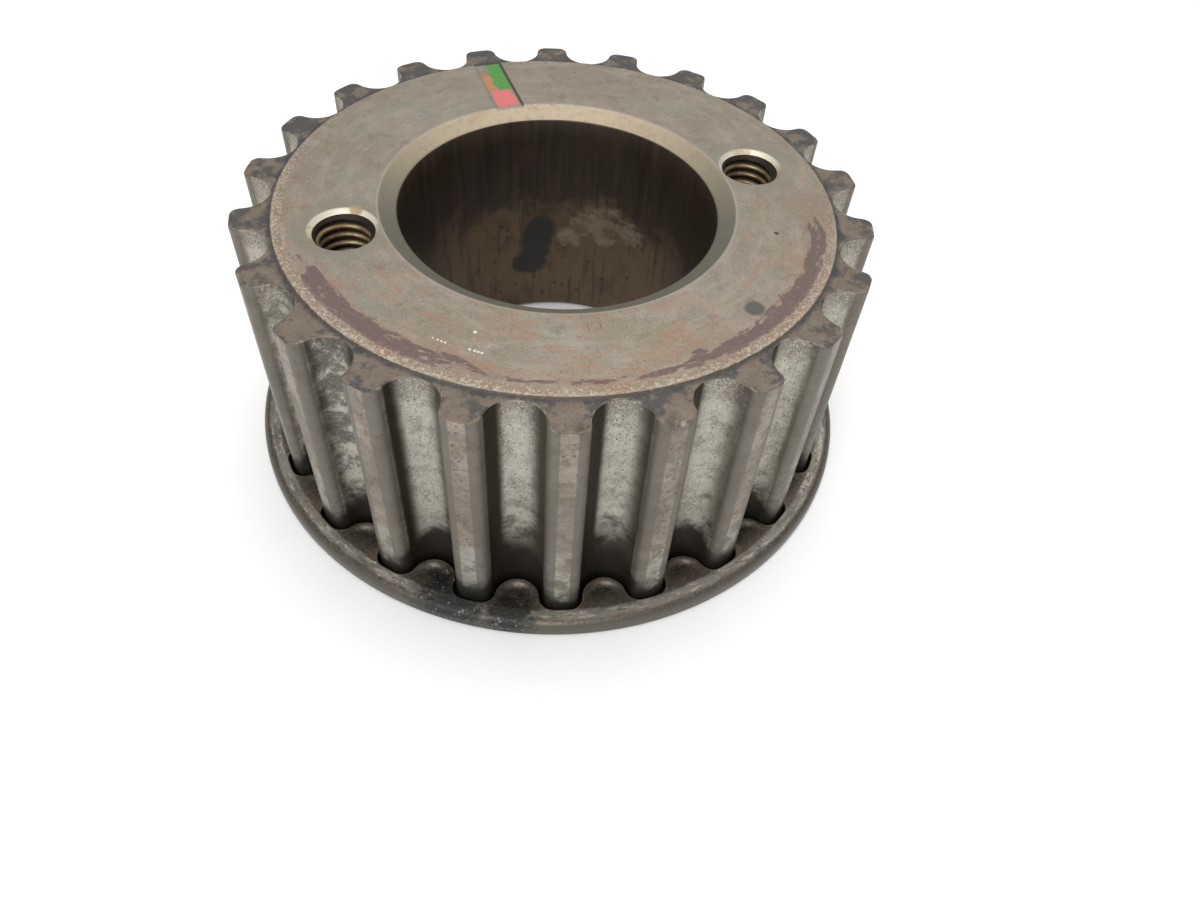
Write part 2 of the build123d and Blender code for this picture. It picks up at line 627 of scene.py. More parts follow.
    def patch_columns(self, columns: int) -> list[np.ndarray]:
        """The cell columns that the patches round the two holes take the place of."""
        reach = 20
        per_turn = columns / TURN
        first = self.tooth.angles(columns)[0]
        middles = [round((angle - first) % TURN * per_turn) for angle in (0, math.pi)]
        return [(middle + np.arange(-reach, reach)) % columns for middle in middles]

    def toothed_rows(self, shell: Shell) -> np.ndarray:
        """The rows that follow the teeth: the rim's front, the tooth tops, the walls and the back.

        Args:
            shell: where the points go.

        Returns:
            Point numbers by row and column.
        """
        outline, ways, bend, across = self.tooth.outline()
        columns = len(outline)
        sine, cosine = quarter_round(4)
        share_in = np.array([0.1, 0.32, 0.56, 0.78, 0.92])
        depths = np.array([0.15, 0.4, 0.8, 1.4, 2.2, 3.4, 5, 7, 9.5, 12.5, 16, 19.5, 22.5, 25])
        wall = self.rim - self.tooth_edge - depths
        under_sine, under_cosine = quarter_round(3)

        share = np.concatenate([share_in, np.ones(len(sine) + len(wall) + len(under_sine)), share_in[::-1]])
        inset = np.concatenate([
            np.full(len(share_in), self.tooth_edge),
            self.tooth_edge * (1 - sine),
            np.zeros(len(wall)),
            self.back_edge * (1 - under_cosine),
            np.full(len(share_in), self.back_edge),
        ])
        height = np.concatenate([
            np.full(len(share_in), self.rim),
            self.rim - self.tooth_edge * (1 - cosine),
            wall,
            self.back_edge * (1 - under_sine),
            np.zeros(len(share_in)),
        ])
        inner = self.circle(self.face_radius + self.face_foot, columns)
        rows = outline - inset[:, None, None] * ways
        xy = inner + share[:, None, None] * (rows - inner)
        points = lift(xy, height[:, None])

        wear = self.unevenness * (0.5 + 0.5 * ripple(points, 5.0, seed=5))
        outward = np.concatenate([ways, np.zeros((columns, 1))], 1)
        level = np.array([0.0, 0.0, 1.0])
        on_top = (height > self.rim - 0.5 * self.tooth_edge)[:, None, None]
        on_wall = ((height > 2.5) & (height < self.rim - 0.5 * self.tooth_edge))[:, None, None]
        points = points - wear[..., None] * (on_top * level + on_wall * outward)
        for dent in self.dents:
            points = dent.push(points)

        gap_to_edge = np.hypot(*np.moveaxis(outline - inner, -1, 0)) * (1 - share[:, None])
        below = np.clip(self.rim - height, 0, None)[:, None]
        edge = np.exp(-(gap_to_edge + below) / 0.3)
        radius = np.hypot(outline[:, 0], outline[:, 1])
        deep = np.clip((self.tooth.tip_radius - radius) / self.tooth.groove_depth, 0, 1)
        numbers = shell.place(points, edge=edge, deep=deep, across=across, bend=bend)
        zones = np.full(len(numbers) - 1, BodyZone.TEETH)
        zones[: len(share_in) + 2] = BodyZone.RIM
        zones[-len(share_in) - 1 :] = BodyZone.BACK
        shell.weave(numbers, zones)
        return numbers

    def hole_mouth(
        self, shell: Shell, hole: TappedHole, border: np.ndarray, points: np.ndarray, at_front: bool
    ) -> np.ndarray:
        """The patch between the turned rows and a hole, in rings that shrink to the hole's mouth.

        Formula: each ring keeps the directions of the border's points from the hole's axis, and
        its distance passes from the border's own to a circle just outside the countersink, then
        steps down the cone.

        Args:
            shell: where the points go.
            hole: the hole in the middle of the patch.
            border: numbers of the patch's border points, in order round it.
            points: positions of those border points.
            at_front: whether this is the front end.

        Returns:
            Numbers of the innermost ring.
        """
        offset = points[:, :2] - np.array([hole.x, 0.0])
        far = np.linalg.norm(offset, axis=1)
        way = offset / far[:, None]
        rim = hole.countersink_radius + 0.06
        inward = np.array([-0.015, 0.03, 0.12, 0.28, hole.countersink_radius - hole.mouth_radius])
        cone = hole.countersink_radius - inward
        toward = np.array([0.34, 0.68, 1.0])[:, None]
        rings = np.concatenate([far * (1 - toward) + rim * toward, np.repeat(cone[:, None], len(far), 1)])
        xy = np.array([hole.x, 0.0]) + rings[..., None] * way
        surface, recess = self.end_surface(xy, 0.0, at_front)
        edge = np.exp(-np.abs(rings - hole.countersink_radius) / 0.15)
        numbers = shell.place(surface, recess=recess, edge=edge)
        numbers = np.concatenate([border[None, :], numbers])
        zone = BodyZone.FACE if at_front else BodyZone.BACK
        shell.weave(numbers if at_front else numbers[::-1], zone)
        return numbers[-1]

    def cut_hole(
        self, shell: Shell, hole: TappedHole, numbers: np.ndarray, starts: dict[bool, int], cells: np.ndarray
    ) -> None:
        """Both mouths of a hole and the threaded wall between them.

        Args:
            shell: where the points go.
            hole: the hole.
            numbers: point numbers of the turned rows.
            starts: first patch row at each end.
            cells: cell columns of the patch.
        """
        rows = len(self.window_radii())
        columns = np.append(cells, (cells[-1] + 1) % numbers.shape[1])
        known = np.concatenate(shell.points)
        mouths = {}
        for at_front, first in starts.items():
            block = numbers[first : first + rows][:, columns]
            block = block if at_front else block[::-1]
            border = np.concatenate([block[0, :-1], block[:-1, -1], block[-1, :0:-1], block[:0:-1, 0]])
            mouths[at_front] = self.hole_mouth(shell, hole, border, known[border], at_front)
        known = np.concatenate(shell.points)
        ring = known[mouths[True]][::2]
        angle = np.arctan2(ring[:, 1], ring[:, 0] - hole.x)
        height = hole.wall_heights()[:, None]
        radius, crest = hole.wall_radius(angle[None, :], height)
        wall = np.stack([
            hole.x + radius * np.cos(angle),
            radius * np.sin(angle),
            np.broadcast_to(height, radius.shape),
        ], -1)
        inner = shell.place(wall, crest=crest)
        shell.halve(mouths[True], inner[0], BodyZone.THREAD, outward=True)
        shell.weave(inner, BodyZone.THREAD)
        shell.halve(mouths[False], inner[-1], BodyZone.THREAD, outward=False)

    def build(self, materials: list[bpy.types.Material]) -> bpy.types.Object:
        """Builds the closed body and names its place in the frame.

        Args:
            materials: one finish for each BodyZone.

        Returns:
            The finished piece.
        """
        shell = Shell(("recess", "crest", "edge", "deep", "across", "bend"))
        turned, starts = self.turned_rows(shell)
        toothed = self.toothed_rows(shell)
        shell.halve(toothed[0], turned[-1], BodyZone.RIM, outward=False)
        shell.halve(toothed[-1], turned[0], BodyZone.BACK, outward=True)
        for hole, cells in zip(self.holes(), self.patch_columns(turned.shape[1])):
            self.cut_hole(shell, hole, turned, starts, cells)
        piece = shell.make("toothed_body", materials)
        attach(piece, "root")
        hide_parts("sprocket_body")
        return piece


# ---------------------------------------------------------------- guide flange
@dataclass
class GuideFlange:
    """The pressed ring behind the teeth: a dished tongue in every groove and a rolled rim."""

    tooth: ToothForm
    radius: float
    thickness: float
    grip_height: float = 0.8
    grip_clearance: float = 0.01
    relief: float = 0.4
    lip: float = 0.13
    rim_rounding: float = 0.9
    back_rounding: float = 0.3
    dish_depth: float = 0.42
    dish_wall: float = 0.3
    waviness: float = 0.03

    def dish(self, xy: np.ndarray) -> np.ndarray:
        """How deep inside a dished tongue each point is, from 0 to 1.

        Formula: in the frame of the nearest groove, the distance inward from the tongue's edge,
        which is a circle about the groove's centre with straight flaring sides, eased in over the
        width of the wall, times an ease-out from the tongue's tip towards the plain band.

        Args:
            xy: positions in millimetres.

        Returns:
            The depth as a share of the full dish.
        """
        first = self.tooth.angles(self.tooth.tooth_count)[0]
        pitch = math.radians(self.tooth.pitch_angle)
        radius = np.hypot(xy[..., 0], xy[..., 1])
        turn = (np.arctan2(xy[..., 1], xy[..., 0]) - first + pitch / 2) % pitch - pitch / 2
        along = radius * np.cos(turn) - self.tooth.groove_centre
        across = np.abs(radius * np.sin(turn))
        flare = math.tan(math.radians(self.tooth.flank_flare))
        half_width = self.tooth.groove_radius - self.relief
        inward = half_width - np.hypot(np.minimum(along, 0), across) + np.maximum(along, 0) * flare
        full = ease(inward, self.dish_wall, self.dish_wall + 0.75)
        fade = 1 - ease(along, -1.9, 1.0)
        return full * fade

    def build(self, materials: list[bpy.types.Material]) -> bpy.types.Object:
        """Builds the closed ring, from its grip on the teeth over the dished front to the back.

        Formula: every row is a blend, by its share, between the tooth outline grown by some
        clearance and a circle, at one height.

        Args:
            materials: the flange's finish.

        Returns:
            The finished piece.
        """
        outline, ways, _, _ = self.tooth.outline()
        columns = len(outline)
        angle = self.tooth.angles(columns)
        unit = np.stack([np.cos(angle), np.sin(angle)], 1)
        sine, cosine = quarter_round(7)
        small_sine, small_cosine = quarter_round(3)
        top = self.thickness
        land_end, wall_end = self.grip_clearance, self.relief
        flat_radius = self.radius - self.rim_rounding
        spread = np.array([0.03, 0.07, 0.12, 0.18, 0.25, 0.33, 0.42, 0.52, 0.63, 0.75, 0.88, 1.0])

        rows = [
            (0.0, land_end, 0.0, h) for h in (0.06, 0.4, self.grip_height - 0.05)
        ] + [
            (0.0, grow, 0.0, self.grip_height) for grow in (land_end + 0.06, wall_end - 0.06)
        ] + [
            (0.0, wall_end, 0.0, h) for h in (self.grip_height + 0.07, 1.3, top - self.lip)
        ] + [
            (0.0, wall_end + self.lip * (1 - c), 0.0, top - self.lip * (1 - s))
            for s, c in zip(small_sine[1:], small_cosine[1:])
        ] + [
            (share, wall_end + self.lip, flat_radius, top) for share in spread
        ] + [
            (1.0, 0.0, flat_radius + self.rim_rounding * s, top - self.rim_rounding * (1 - c))
            for s, c in zip(sine[1:], cosine[1:])
        ] + [
            (1.0, 0.0, self.radius, self.back_rounding + 0.3)
        ] + [
            (1.0, 0.0, self.radius - self.back_rounding * (1 - c), self.back_rounding * (1 - s))
            for s, c in zip(small_sine, small_cosine)
        ] + [
            (share, 0.12, self.radius - self.back_rounding, 0.0) for share in (0.75, 0.5, 0.3, 0.14, 0.0)
        ]
        share, growth, radius, height = (np.array(part)[:, None] for part in zip(*rows))
        inner = outline + growth[..., None] * ways
        xy = inner + share[..., None] * (radius[..., None] * unit - inner)
        height = np.broadcast_to(height, xy.shape[:2]).copy()

        front = (height > top - 0.02) & (share > 0)
        dished = self.dish(xy) * front
        height -= self.dish_depth * dished
        points = lift(xy, height)
        sway = self.waviness * (0.5 + 0.5 * ripple(points, 14.0, seed=11)) * np.clip(share - 0.2, 0, 1)
        points[..., :2] *= (1 - sway / self.radius)[..., None]
        upper = ease(points[..., 2], 1.2, top - 0.1) * ease(share + 0 * points[..., 2], 0.02, 0.3)
        points[..., 2] -= 0.8 * self.waviness * (0.5 + 0.5 * ripple(points, 6.0, seed=12)) * upper

        lip_row = (share == 0) & (growth > wall_end - 0.02) & (height > top - 2 * self.lip)
        near_lip = np.exp(-share / 0.03) * (growth > wall_end)
        edge = np.maximum(lip_row, near_lip) * np.ones(columns)
        shell = Shell(("dish", "edge"))
        numbers = shell.place(points, dish=dished, edge=edge)
        numbers = np.concatenate([numbers, numbers[:1]])
        shell.weave(numbers, 0)
        piece = shell.make("pressed_flange", materials)
        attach(piece, "root")
        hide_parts("guide_flange")
        return piece


# ---------------------------------------------------------------- helpers for the finishes
def seen(red: float, green: float, blue: float) -> Colour:
    """A colour given as it looks, in steps of 0 to 255, in the linear light that shaders use."""
    shown = np.array([red, green, blue]) / 255
    linear = np.where(shown <= 0.04045, shown / 12.92, ((shown + 0.055) / 1.055) ** 2.4)
    return float(linear[0]), float(linear[1]), float(linear[2])


class Wiring:
    """Short forms for placing and joining the nodes of one material or node group."""

    def __init__(self, tree: bpy.types.NodeTree) -> None:
        """Keeps the tree that the nodes go into."""
        self.tree = tree

    def node(self, kind: str, **settings: str | float | bool) -> bpy.types.Node:
        """Places a node and sets its named properties."""
        made = self.tree.nodes.new(kind)
        for name, value in settings.items():
            setattr(made, name, value)
        return made

    def feed(self, socket: Socket, value: Value | Paint) -> None:
        """Joins a socket to another, or gives it a plain number or colour."""
        if isinstance(value, bpy.types.NodeSocket):
            self.tree.links.new(value, socket)
        elif socket.type == "RGBA":
            socket.default_value = (*value, 1.0)
        else:
            socket.default_value = value

    def maths(self, operation: str, *values: Value, clamp: bool = False) -> Socket:
        """One step of arithmetic on plain numbers."""
        step = self.node("ShaderNodeMath", operation=operation, use_clamp=clamp)
        for socket, value in zip(step.inputs, values):
            self.feed(socket, value)
        return step.outputs[0]

    def line(self, value: Value, slope: Value, start: Value) -> Socket:
        """A straight line: value times slope, plus start."""
        return self.maths("MULTIPLY_ADD", value, slope, start)

    def between(self, value: Value, start: float, end: float, low: float = 0.0, high: float = 1.0) -> Socket:
        """Rises or falls smoothly from low to high as value goes from start to end."""
        step = self.node("ShaderNodeMapRange", interpolation_type="SMOOTHSTEP")
        if start > end:
            start, end, low, high = end, start, high, low
        self.feed(step.inputs["Value"], value)
        for name, number in (("From Min", start), ("From Max", end), ("To Min", low), ("To Max", high)):
            step.inputs[name].default_value = number
        return step.outputs["Result"]

    def mix(self, share: Value, first: Paint, second: Paint) -> Socket:
        """Mixes two colours by a share from 0 to 1."""
        step = self.node("ShaderNodeMix", data_type="RGBA", clamp_factor=True)
        self.feed(step.inputs[0], share)
        self.feed(step.inputs[6], first)
        self.feed(step.inputs[7], second)
        return step.outputs[2]

    def blend(self, share: Value, first: Value, second: Value) -> Socket:
        """Mixes two plain numbers by a share from 0 to 1."""
        step = self.node("ShaderNodeMix", data_type="FLOAT", clamp_factor=True)
        self.feed(step.inputs[0], share)
        self.feed(step.inputs[2], first)
        self.feed(step.inputs[3], second)
        return step.outputs[0]

    def both(self, *masks: Value) -> Socket:
        """The product of several masks."""
        product = masks[0]
        for mask in masks[1:]:
            product = self.maths("MULTIPLY", product, mask)
        return product

    def over(self, colour: Paint, shade: Paint, *masks: Value) -> Socket:
        """Lays a second colour over the first where every mask lets it through."""
        return self.mix(self.both(*masks), colour, shade)

    def layers(self, base: Paint, *coats: tuple[Value | Paint, ...]) -> Paint:
        """Lays coats over a base in turn, each one a colour and the masks that let it through."""
        colour = base
        for shade, *masks in coats:
            colour = self.over(colour, shade, *masks)
        return colour

    def patches(
        self, vector: Socket, scale: float, start: float, end: float, low: float = 0.0, high: float = 1.0
    ) -> Socket:
        """Ragged patches: the parts of a cloudy noise that lie above start, full from end on."""
        return self.between(self.noise(vector, scale, 5.0, 0.66), start, end, low, high)

    def scaled(self, vector: Socket, factors: tuple[float, float, float]) -> Socket:
        """A vector with each part multiplied by its own factor, which stretches a pattern."""
        return self.vectors("MULTIPLY", vector, factors)

    def vectors(self, operation: str, *values: Value | Paint) -> Socket:
        """One step of arithmetic on vectors, fed in the order of the sockets that it uses."""
        step = self.node("ShaderNodeVectorMath", operation=operation)
        used = [socket for socket in step.inputs if socket.enabled]
        for socket, value in zip(used, values):
            self.feed(socket, value)
        gives_number = operation in ("LENGTH", "DISTANCE", "DOT_PRODUCT")
        return step.outputs["Value" if gives_number else "Vector"]

    def parts(self, vector: Socket) -> tuple[Socket, Socket, Socket]:
        """The three parts of a vector."""
        split = self.node("ShaderNodeSeparateXYZ")
        self.feed(split.inputs[0], vector)
        return split.outputs[0], split.outputs[1], split.outputs[2]

    def take(self, tree: bpy.types.NodeTree, *names: str) -> list[Socket]:
        """Places a node group and gives its outputs of these names."""
        made = self.group(tree)
        return [made.outputs[name] for name in names]

    def effect(self, tree: bpy.types.NodeTree, **values: Value | Paint) -> Socket:
        """The first output of a node group, with its named inputs set or joined."""
        return self.group(tree, **values).outputs[0]

    def channel(self, name: str) -> Socket:
        """A value that the mesh carries at its points."""
        return self.node("ShaderNodeAttribute", attribute_type="GEOMETRY", attribute_name=name).outputs["Fac"]

    def noise(self, vector: Socket, scale: Value, detail: float = 3.0, roughness: float = 0.55) -> Socket:
        """Cloudy noise about one half, with scale in waves a millimetre."""
        cloud = self.node("ShaderNodeTexNoise")
        self.feed(cloud.inputs["Vector"], vector)
        for name, number in (("Scale", scale), ("Detail", detail), ("Roughness", roughness)):
            self.feed(cloud.inputs[name], number)
        return cloud.outputs["Fac"]

    def group(self, tree: bpy.types.NodeTree, **values: Value | Paint) -> bpy.types.Node:
        """Places a node group, with its named inputs set or joined."""
        made = self.node("ShaderNodeGroup")
        made.node_tree = tree
        for name, value in values.items():
            self.feed(made.inputs[name.replace("_", " ").capitalize()], value)
        return made


class Effects:
    """The effects that several finishes share, each a node group that is built once."""

    def __init__(self) -> None:
        """Builds every group."""
        self.place = self._place()
        self.grain = self._grain()
        self.specks = self._specks()
        self.ring = self._ring()
        self.fragments = self._fragments()
        self.spot = self._spot()
        self.wear = self._wear()
        self.lay = self._lay()

    @staticmethod
    def _start(
        name: str, inputs: dict[str, float | str], outputs: dict[str, str]
    ) -> tuple[Wiring, dict[str, Socket], bpy.types.Node]:
        """Makes an empty group with named sockets.

        Args:
            name: name of the group.
            inputs: a default number for each input, or the word vector.
            outputs: Float, Color or Vector for each output.

        Returns:
            The wiring, the inputs as they are seen inside, and the output node.
        """
        tree = bpy.data.node_groups.new(name, "ShaderNodeTree")
        for label, start in inputs.items():
            kind = "NodeSocketVector" if start == "vector" else "NodeSocketFloat"
            socket = tree.interface.new_socket(name=label, in_out="INPUT", socket_type=kind)
            if kind == "NodeSocketFloat":
                socket.default_value = start
        for label, kind in outputs.items():
            tree.interface.new_socket(name=label, in_out="OUTPUT", socket_type="NodeSocket" + kind)
        wiring = Wiring(tree)
        entry = wiring.node("NodeGroupInput")
        sockets = {label: entry.outputs[label] for label in inputs}
        return wiring, sockets, wiring.node("NodeGroupOutput")

    def _place(self) -> bpy.types.NodeTree:
        """Where a point is: position in millimetres, distance and direction from the axis, height.

        Around is a position for patterns that follow the circumference: the direction scaled to
        a circle of AROUND_RADIUS, and AROUND_STRETCH times the distance from the axis as its
        third part, so that a pattern on it is longer round the body than across it.
        """
        wiring, _, end = self._start("place", {}, {
            "Position": "Vector", "Radius": "Float", "Height": "Float", "Way": "Vector", "Around": "Vector",
        })
        where = wiring.node("ShaderNodeTexCoord").outputs["Object"]
        position = wiring.vectors("SCALE", where, 1 / MM)
        flat = wiring.scaled(position, (1, 1, 0))
        radius = wiring.vectors("LENGTH", flat)
        way = wiring.vectors("NORMALIZE", flat)
        ring = wiring.vectors("SCALE", way, AROUND_RADIUS)
        rise = wiring.node("ShaderNodeCombineXYZ")
        wiring.feed(rise.inputs[2], wiring.maths("MULTIPLY", radius, AROUND_STRETCH))
        wiring.feed(end.inputs["Position"], position)
        wiring.feed(end.inputs["Radius"], radius)
        wiring.feed(end.inputs["Height"], wiring.parts(position)[2])
        wiring.feed(end.inputs["Way"], way)
        wiring.feed(end.inputs["Around"], wiring.vectors("ADD", ring, rise.outputs[0]))
        return wiring.tree

    def _grain(self) -> bpy.types.NodeTree:
        """Pressed and sintered metal: broad mottle, fine grain and small open pores."""
        wiring, given, end = self._start(
            "grain", {"Position": "vector", "Mottle": 0.35, "Pore size": 0.25},
            {"Mottle": "Float", "Fine": "Float", "Pores": "Float", "Height": "Float"},
        )
        mottle = wiring.noise(given["Position"], given["Mottle"], 5.0, 0.62)
        mottle.node.inputs["Distortion"].default_value = 0.4
        fine = wiring.noise(given["Position"], 3.4, 4.0, 0.7)
        pore = wiring.noise(given["Position"], wiring.maths("DIVIDE", 1.0, given["Pore size"]), 2.0, 0.5)
        pores = wiring.between(pore, 0.60, 0.72)
        depth = wiring.line(pores, -0.8, fine)
        wiring.feed(end.inputs["Mottle"], wiring.between(mottle, 0.36, 0.64))
        wiring.feed(end.inputs["Fine"], wiring.between(fine, 0.3, 0.7))
        wiring.feed(end.inputs["Pores"], pores)
        wiring.feed(end.inputs["Height"], depth)
        return wiring.tree

    def _specks(self) -> bpy.types.NodeTree:
        """Scattered specks of uneven size: cells, of which a cloudy chance keeps some."""
        wiring, given, end = self._start(
            "specks", {"Position": "vector", "Spacing": 0.8, "Cover": 0.4, "Patch": 3.0}, {"Mask": "Float"}
        )
        cells = wiring.node("ShaderNodeTexVoronoi", feature="F1")
        wiring.feed(cells.inputs["Vector"], given["Position"])
        wiring.feed(cells.inputs["Scale"], wiring.maths("DIVIDE", 1.0, given["Spacing"]))
        parts = wiring.node("ShaderNodeSeparateColor")
        wiring.feed(parts.inputs[0], cells.outputs["Color"])
        cloud = wiring.noise(given["Position"], wiring.maths("DIVIDE", 1.0, given["Patch"]), 3.0)
        ragged = wiring.noise(given["Position"], 4.0, 2.0)
        size = wiring.maths("MULTIPLY", parts.outputs[0], 0.38)
        beyond = wiring.maths("SUBTRACT", cells.outputs["Distance"], size)
        shape = wiring.line(ragged, 0.35, beyond)
        spot = wiring.between(shape, 0.3, 0.16)
        likely = wiring.maths("ADD", given["Cover"], wiring.line(cloud, 1.6, -0.8))
        kept = wiring.maths("LESS_THAN", parts.outputs[1], likely)
        wiring.feed(end.inputs["Mask"], wiring.both(spot, kept))
        return wiring.tree

    def _ring(self) -> bpy.types.NodeTree:
        """A ragged ring about the axis between two radii."""
        wiring, given, end = self._start(
            "ragged ring",
            {"Position": "vector", "Radius": 0.0, "Inner": 1.0, "Outer": 2.0, "Ragged": 0.8, "Grain": 0.9},
            {"Mask": "Float"},
        )
        cloud = wiring.noise(given["Position"], given["Grain"], 6.0, 0.72)
        shake = wiring.maths("SUBTRACT", cloud, 0.5)
        ragged = wiring.maths("MULTIPLY", given["Ragged"], 4.0)
        moved = wiring.line(shake, ragged, given["Radius"])
        inside = wiring.maths("MULTIPLY", wiring.maths("SUBTRACT", moved, given["Inner"]), 4.0, clamp=True)
        outside = wiring.maths("MULTIPLY", wiring.maths("SUBTRACT", given["Outer"], moved), 4.0, clamp=True)
        wiring.feed(end.inputs["Mask"], wiring.both(inside, outside))
        return wiring.tree

    def _fragments(self) -> bpy.types.NodeTree:
        """Crisp ragged fragments, whole where the strength is 1 and gone where it is 0."""
        wiring, given, end = self._start(
            "fragments", {"Around": "vector", "Strength": 0.5, "Size": 3.0}, {"Mask": "Float"}
        )
        cloud = wiring.noise(given["Around"], wiring.maths("DIVIDE", 1.0, given["Size"]), 7.0, 0.7)
        level = wiring.line(given["Strength"], 0.55, cloud)
        wiring.feed(end.inputs["Mask"], wiring.between(level, 0.95, 1.0))
        return wiring.tree

    def _spot(self) -> bpy.types.NodeTree:
        """A soft or ragged spot round one place, fading out at its reach."""
        wiring, given, end = self._start(
            "spot",
            {"Position": "vector", "Centre": "vector", "Reach": 1.0, "Ragged": 0.3, "Soft": 0.5},
            {"Mask": "Float"},
        )
        away = wiring.vectors("DISTANCE", given["Position"], given["Centre"])
        shake = wiring.maths("SUBTRACT", wiring.noise(given["Position"], 1.1, 4.0, 0.65), 0.5)
        share = wiring.maths("DIVIDE", away, given["Reach"])
        ragged = wiring.maths("MULTIPLY", given["Ragged"], 4.0)
        total = wiring.maths("ADD", share, wiring.maths("MULTIPLY", shake, ragged))
        fall = wiring.maths("DIVIDE", wiring.maths("SUBTRACT", 1.0, total), given["Soft"], clamp=True)
        wiring.feed(end.inputs["Mask"], fall)
        return wiring.tree

    def _wear(self) -> bpy.types.NodeTree:
        """Bright worn metal along the edges, also used as painted glints, broken up by noise."""
        wiring, given, end = self._start(
            "edge wear", {"Position": "vector", "Edge": 0.0, "Amount": 0.5}, {"Mask": "Float"}
        )
        cloud = wiring.noise(given["Position"], 0.9, 5.0, 0.7)
        broken = wiring.line(cloud, 1.4, given["Amount"])
        worn = wiring.maths("MULTIPLY", given["Edge"], broken)
        wiring.feed(end.inputs["Mask"], wiring.between(worn, 0.62, 0.98))
        return wiring.tree

    def _lay(self) -> bpy.types.NodeTree:
        """Fine machining lines that run along one value, such as radius or height."""
        wiring, given, end = self._start("machining lines", {"Along": 0.0, "Lines": 6.0}, {"Height": "Float"})
        lines = wiring.node("ShaderNodeTexNoise", noise_dimensions="1D")
        wiring.feed(lines.inputs["W"], wiring.maths("MULTIPLY", given["Along"], given["Lines"]))
        lines.inputs["Detail"].default_value = 3.0
        lines.inputs["Roughness"].default_value = 0.65
        wiring.feed(end.inputs["Height"], lines.outputs["Fac"])
        return wiring.tree


@dataclass
class Look:
    """What a finish gives its shader: colour, roughness, how metallic it is, and relief."""

    colour: Paint
    roughness: Value
    metallic: Value
    relief: Value


@dataclass(frozen=True)
class Finish:
    """A finish of steel. Each kind paints its own Look on top of the same shader."""

    name: str
    relief_depth: float = 0.02
    relief_strength: float = 0.6
    specular: float = 0.5

    def look(self, wiring: Wiring, effects: Effects) -> Look:
        """The finish's own colour and relief. Each kind of finish gives one."""
        raise NotImplementedError

    def material(self, effects: Effects) -> bpy.types.Material:
        """Builds the material.

        Args:
            effects: the shared node groups.

        Returns:
            The material, with one Principled shader and one Bump.
        """
        made = bpy.data.materials.new(self.name)
        made.use_nodes = True
        wiring = Wiring(made.node_tree)
        shader = made.node_tree.nodes["Principled BSDF"]
        look = self.look(wiring, effects)
        bump = wiring.node("ShaderNodeBump")
        bump.inputs["Strength"].default_value = self.relief_strength
        bump.inputs["Distance"].default_value = self.relief_depth * MM
        wiring.feed(bump.inputs["Height"], look.relief)
        wiring.feed(shader.inputs["Base Color"], look.colour)
        wiring.feed(shader.inputs["Roughness"], look.roughness)
        wiring.feed(shader.inputs["Metallic"], look.metallic)
        shader.inputs["Specular IOR Level"].default_value = self.specular
        wiring.feed(shader.inputs["Normal"], bump.outputs["Normal"])
        return made


def toward(wiring: Wiring, way: Socket, degrees: float, near: float, far: float) -> Socket:
    """A sector about the axis: 1 within near degrees of a direction, and 0 beyond far degrees."""
    turn = math.radians(degrees)
    aim = wiring.vectors("DOT_PRODUCT", way, (math.cos(turn), math.sin(turn), 0))
    return wiring.between(aim, math.cos(math.radians(far)), math.cos(math.radians(near)))


@dataclass(frozen=True)
class TimingPaint:
    """Dabs of marking paint in the timing channel: green outside, orange beside it, pink inside."""

    half_width: float
    start: float
    green: Colour = seen(78, 146, 64)
    orange: Colour = seen(184, 128, 88)
    pink: Colour = seen(218, 116, 116)
    shadow: Colour = seen(58, 54, 46)

    def over(self, wiring: Wiring, position: Socket, base: Paint) -> Socket:
        """Lays the paint over a colour.

        Args:
            wiring: where the nodes go.
            position: place in millimetres.
            base: the colour of the bare metal.

        Returns:
            The painted colour.
        """
        x, y, _ = wiring.parts(position)
        shake = wiring.line(wiring.noise(position, 1.2, 4.0, 0.7), 1.4, -0.7)
        along = wiring.maths("ADD", y, shake)
        across = wiring.maths("ADD", x, shake)
        beside = wiring.maths("ABSOLUTE", x)
        inside = wiring.between(beside, self.half_width + 0.02, self.half_width - 0.15)
        thin = wiring.patches(position, 2.4, 0.32, 0.5, 0.45, 0.95)
        orange = wiring.both(
            wiring.between(across, -0.1, -0.4),
            wiring.between(along, self.start + 6.0, self.start + 6.4),
            wiring.between(along, self.start + 10.2, self.start + 9.4),
        )
        pink = wiring.both(
            wiring.between(wiring.maths("ABSOLUTE", across), 1.35, 1.05),
            wiring.between(along, self.start + 2.1, self.start + 2.5),
            wiring.between(along, self.start + 6.2, self.start + 5.7),
        )
        green = wiring.both(
            wiring.between(across, -0.4, -0.1), wiring.between(along, self.start + 5.8, self.start + 6.1)
        )
        colour = wiring.layers(
            base,
            (self.orange, inside, orange, thin),
            (self.pink, inside, pink, thin),
            (self.green, inside, green, thin),
        )
        wall = wiring.both(
            wiring.between(x, self.half_width - 0.2, self.half_width - 0.02),
            wiring.between(x, self.half_width + 0.22, self.half_width + 0.1),
            wiring.between(y, self.start + 1.4, self.start + 2.2),
        )
        return wiring.over(colour, self.shadow, wall, 0.8)


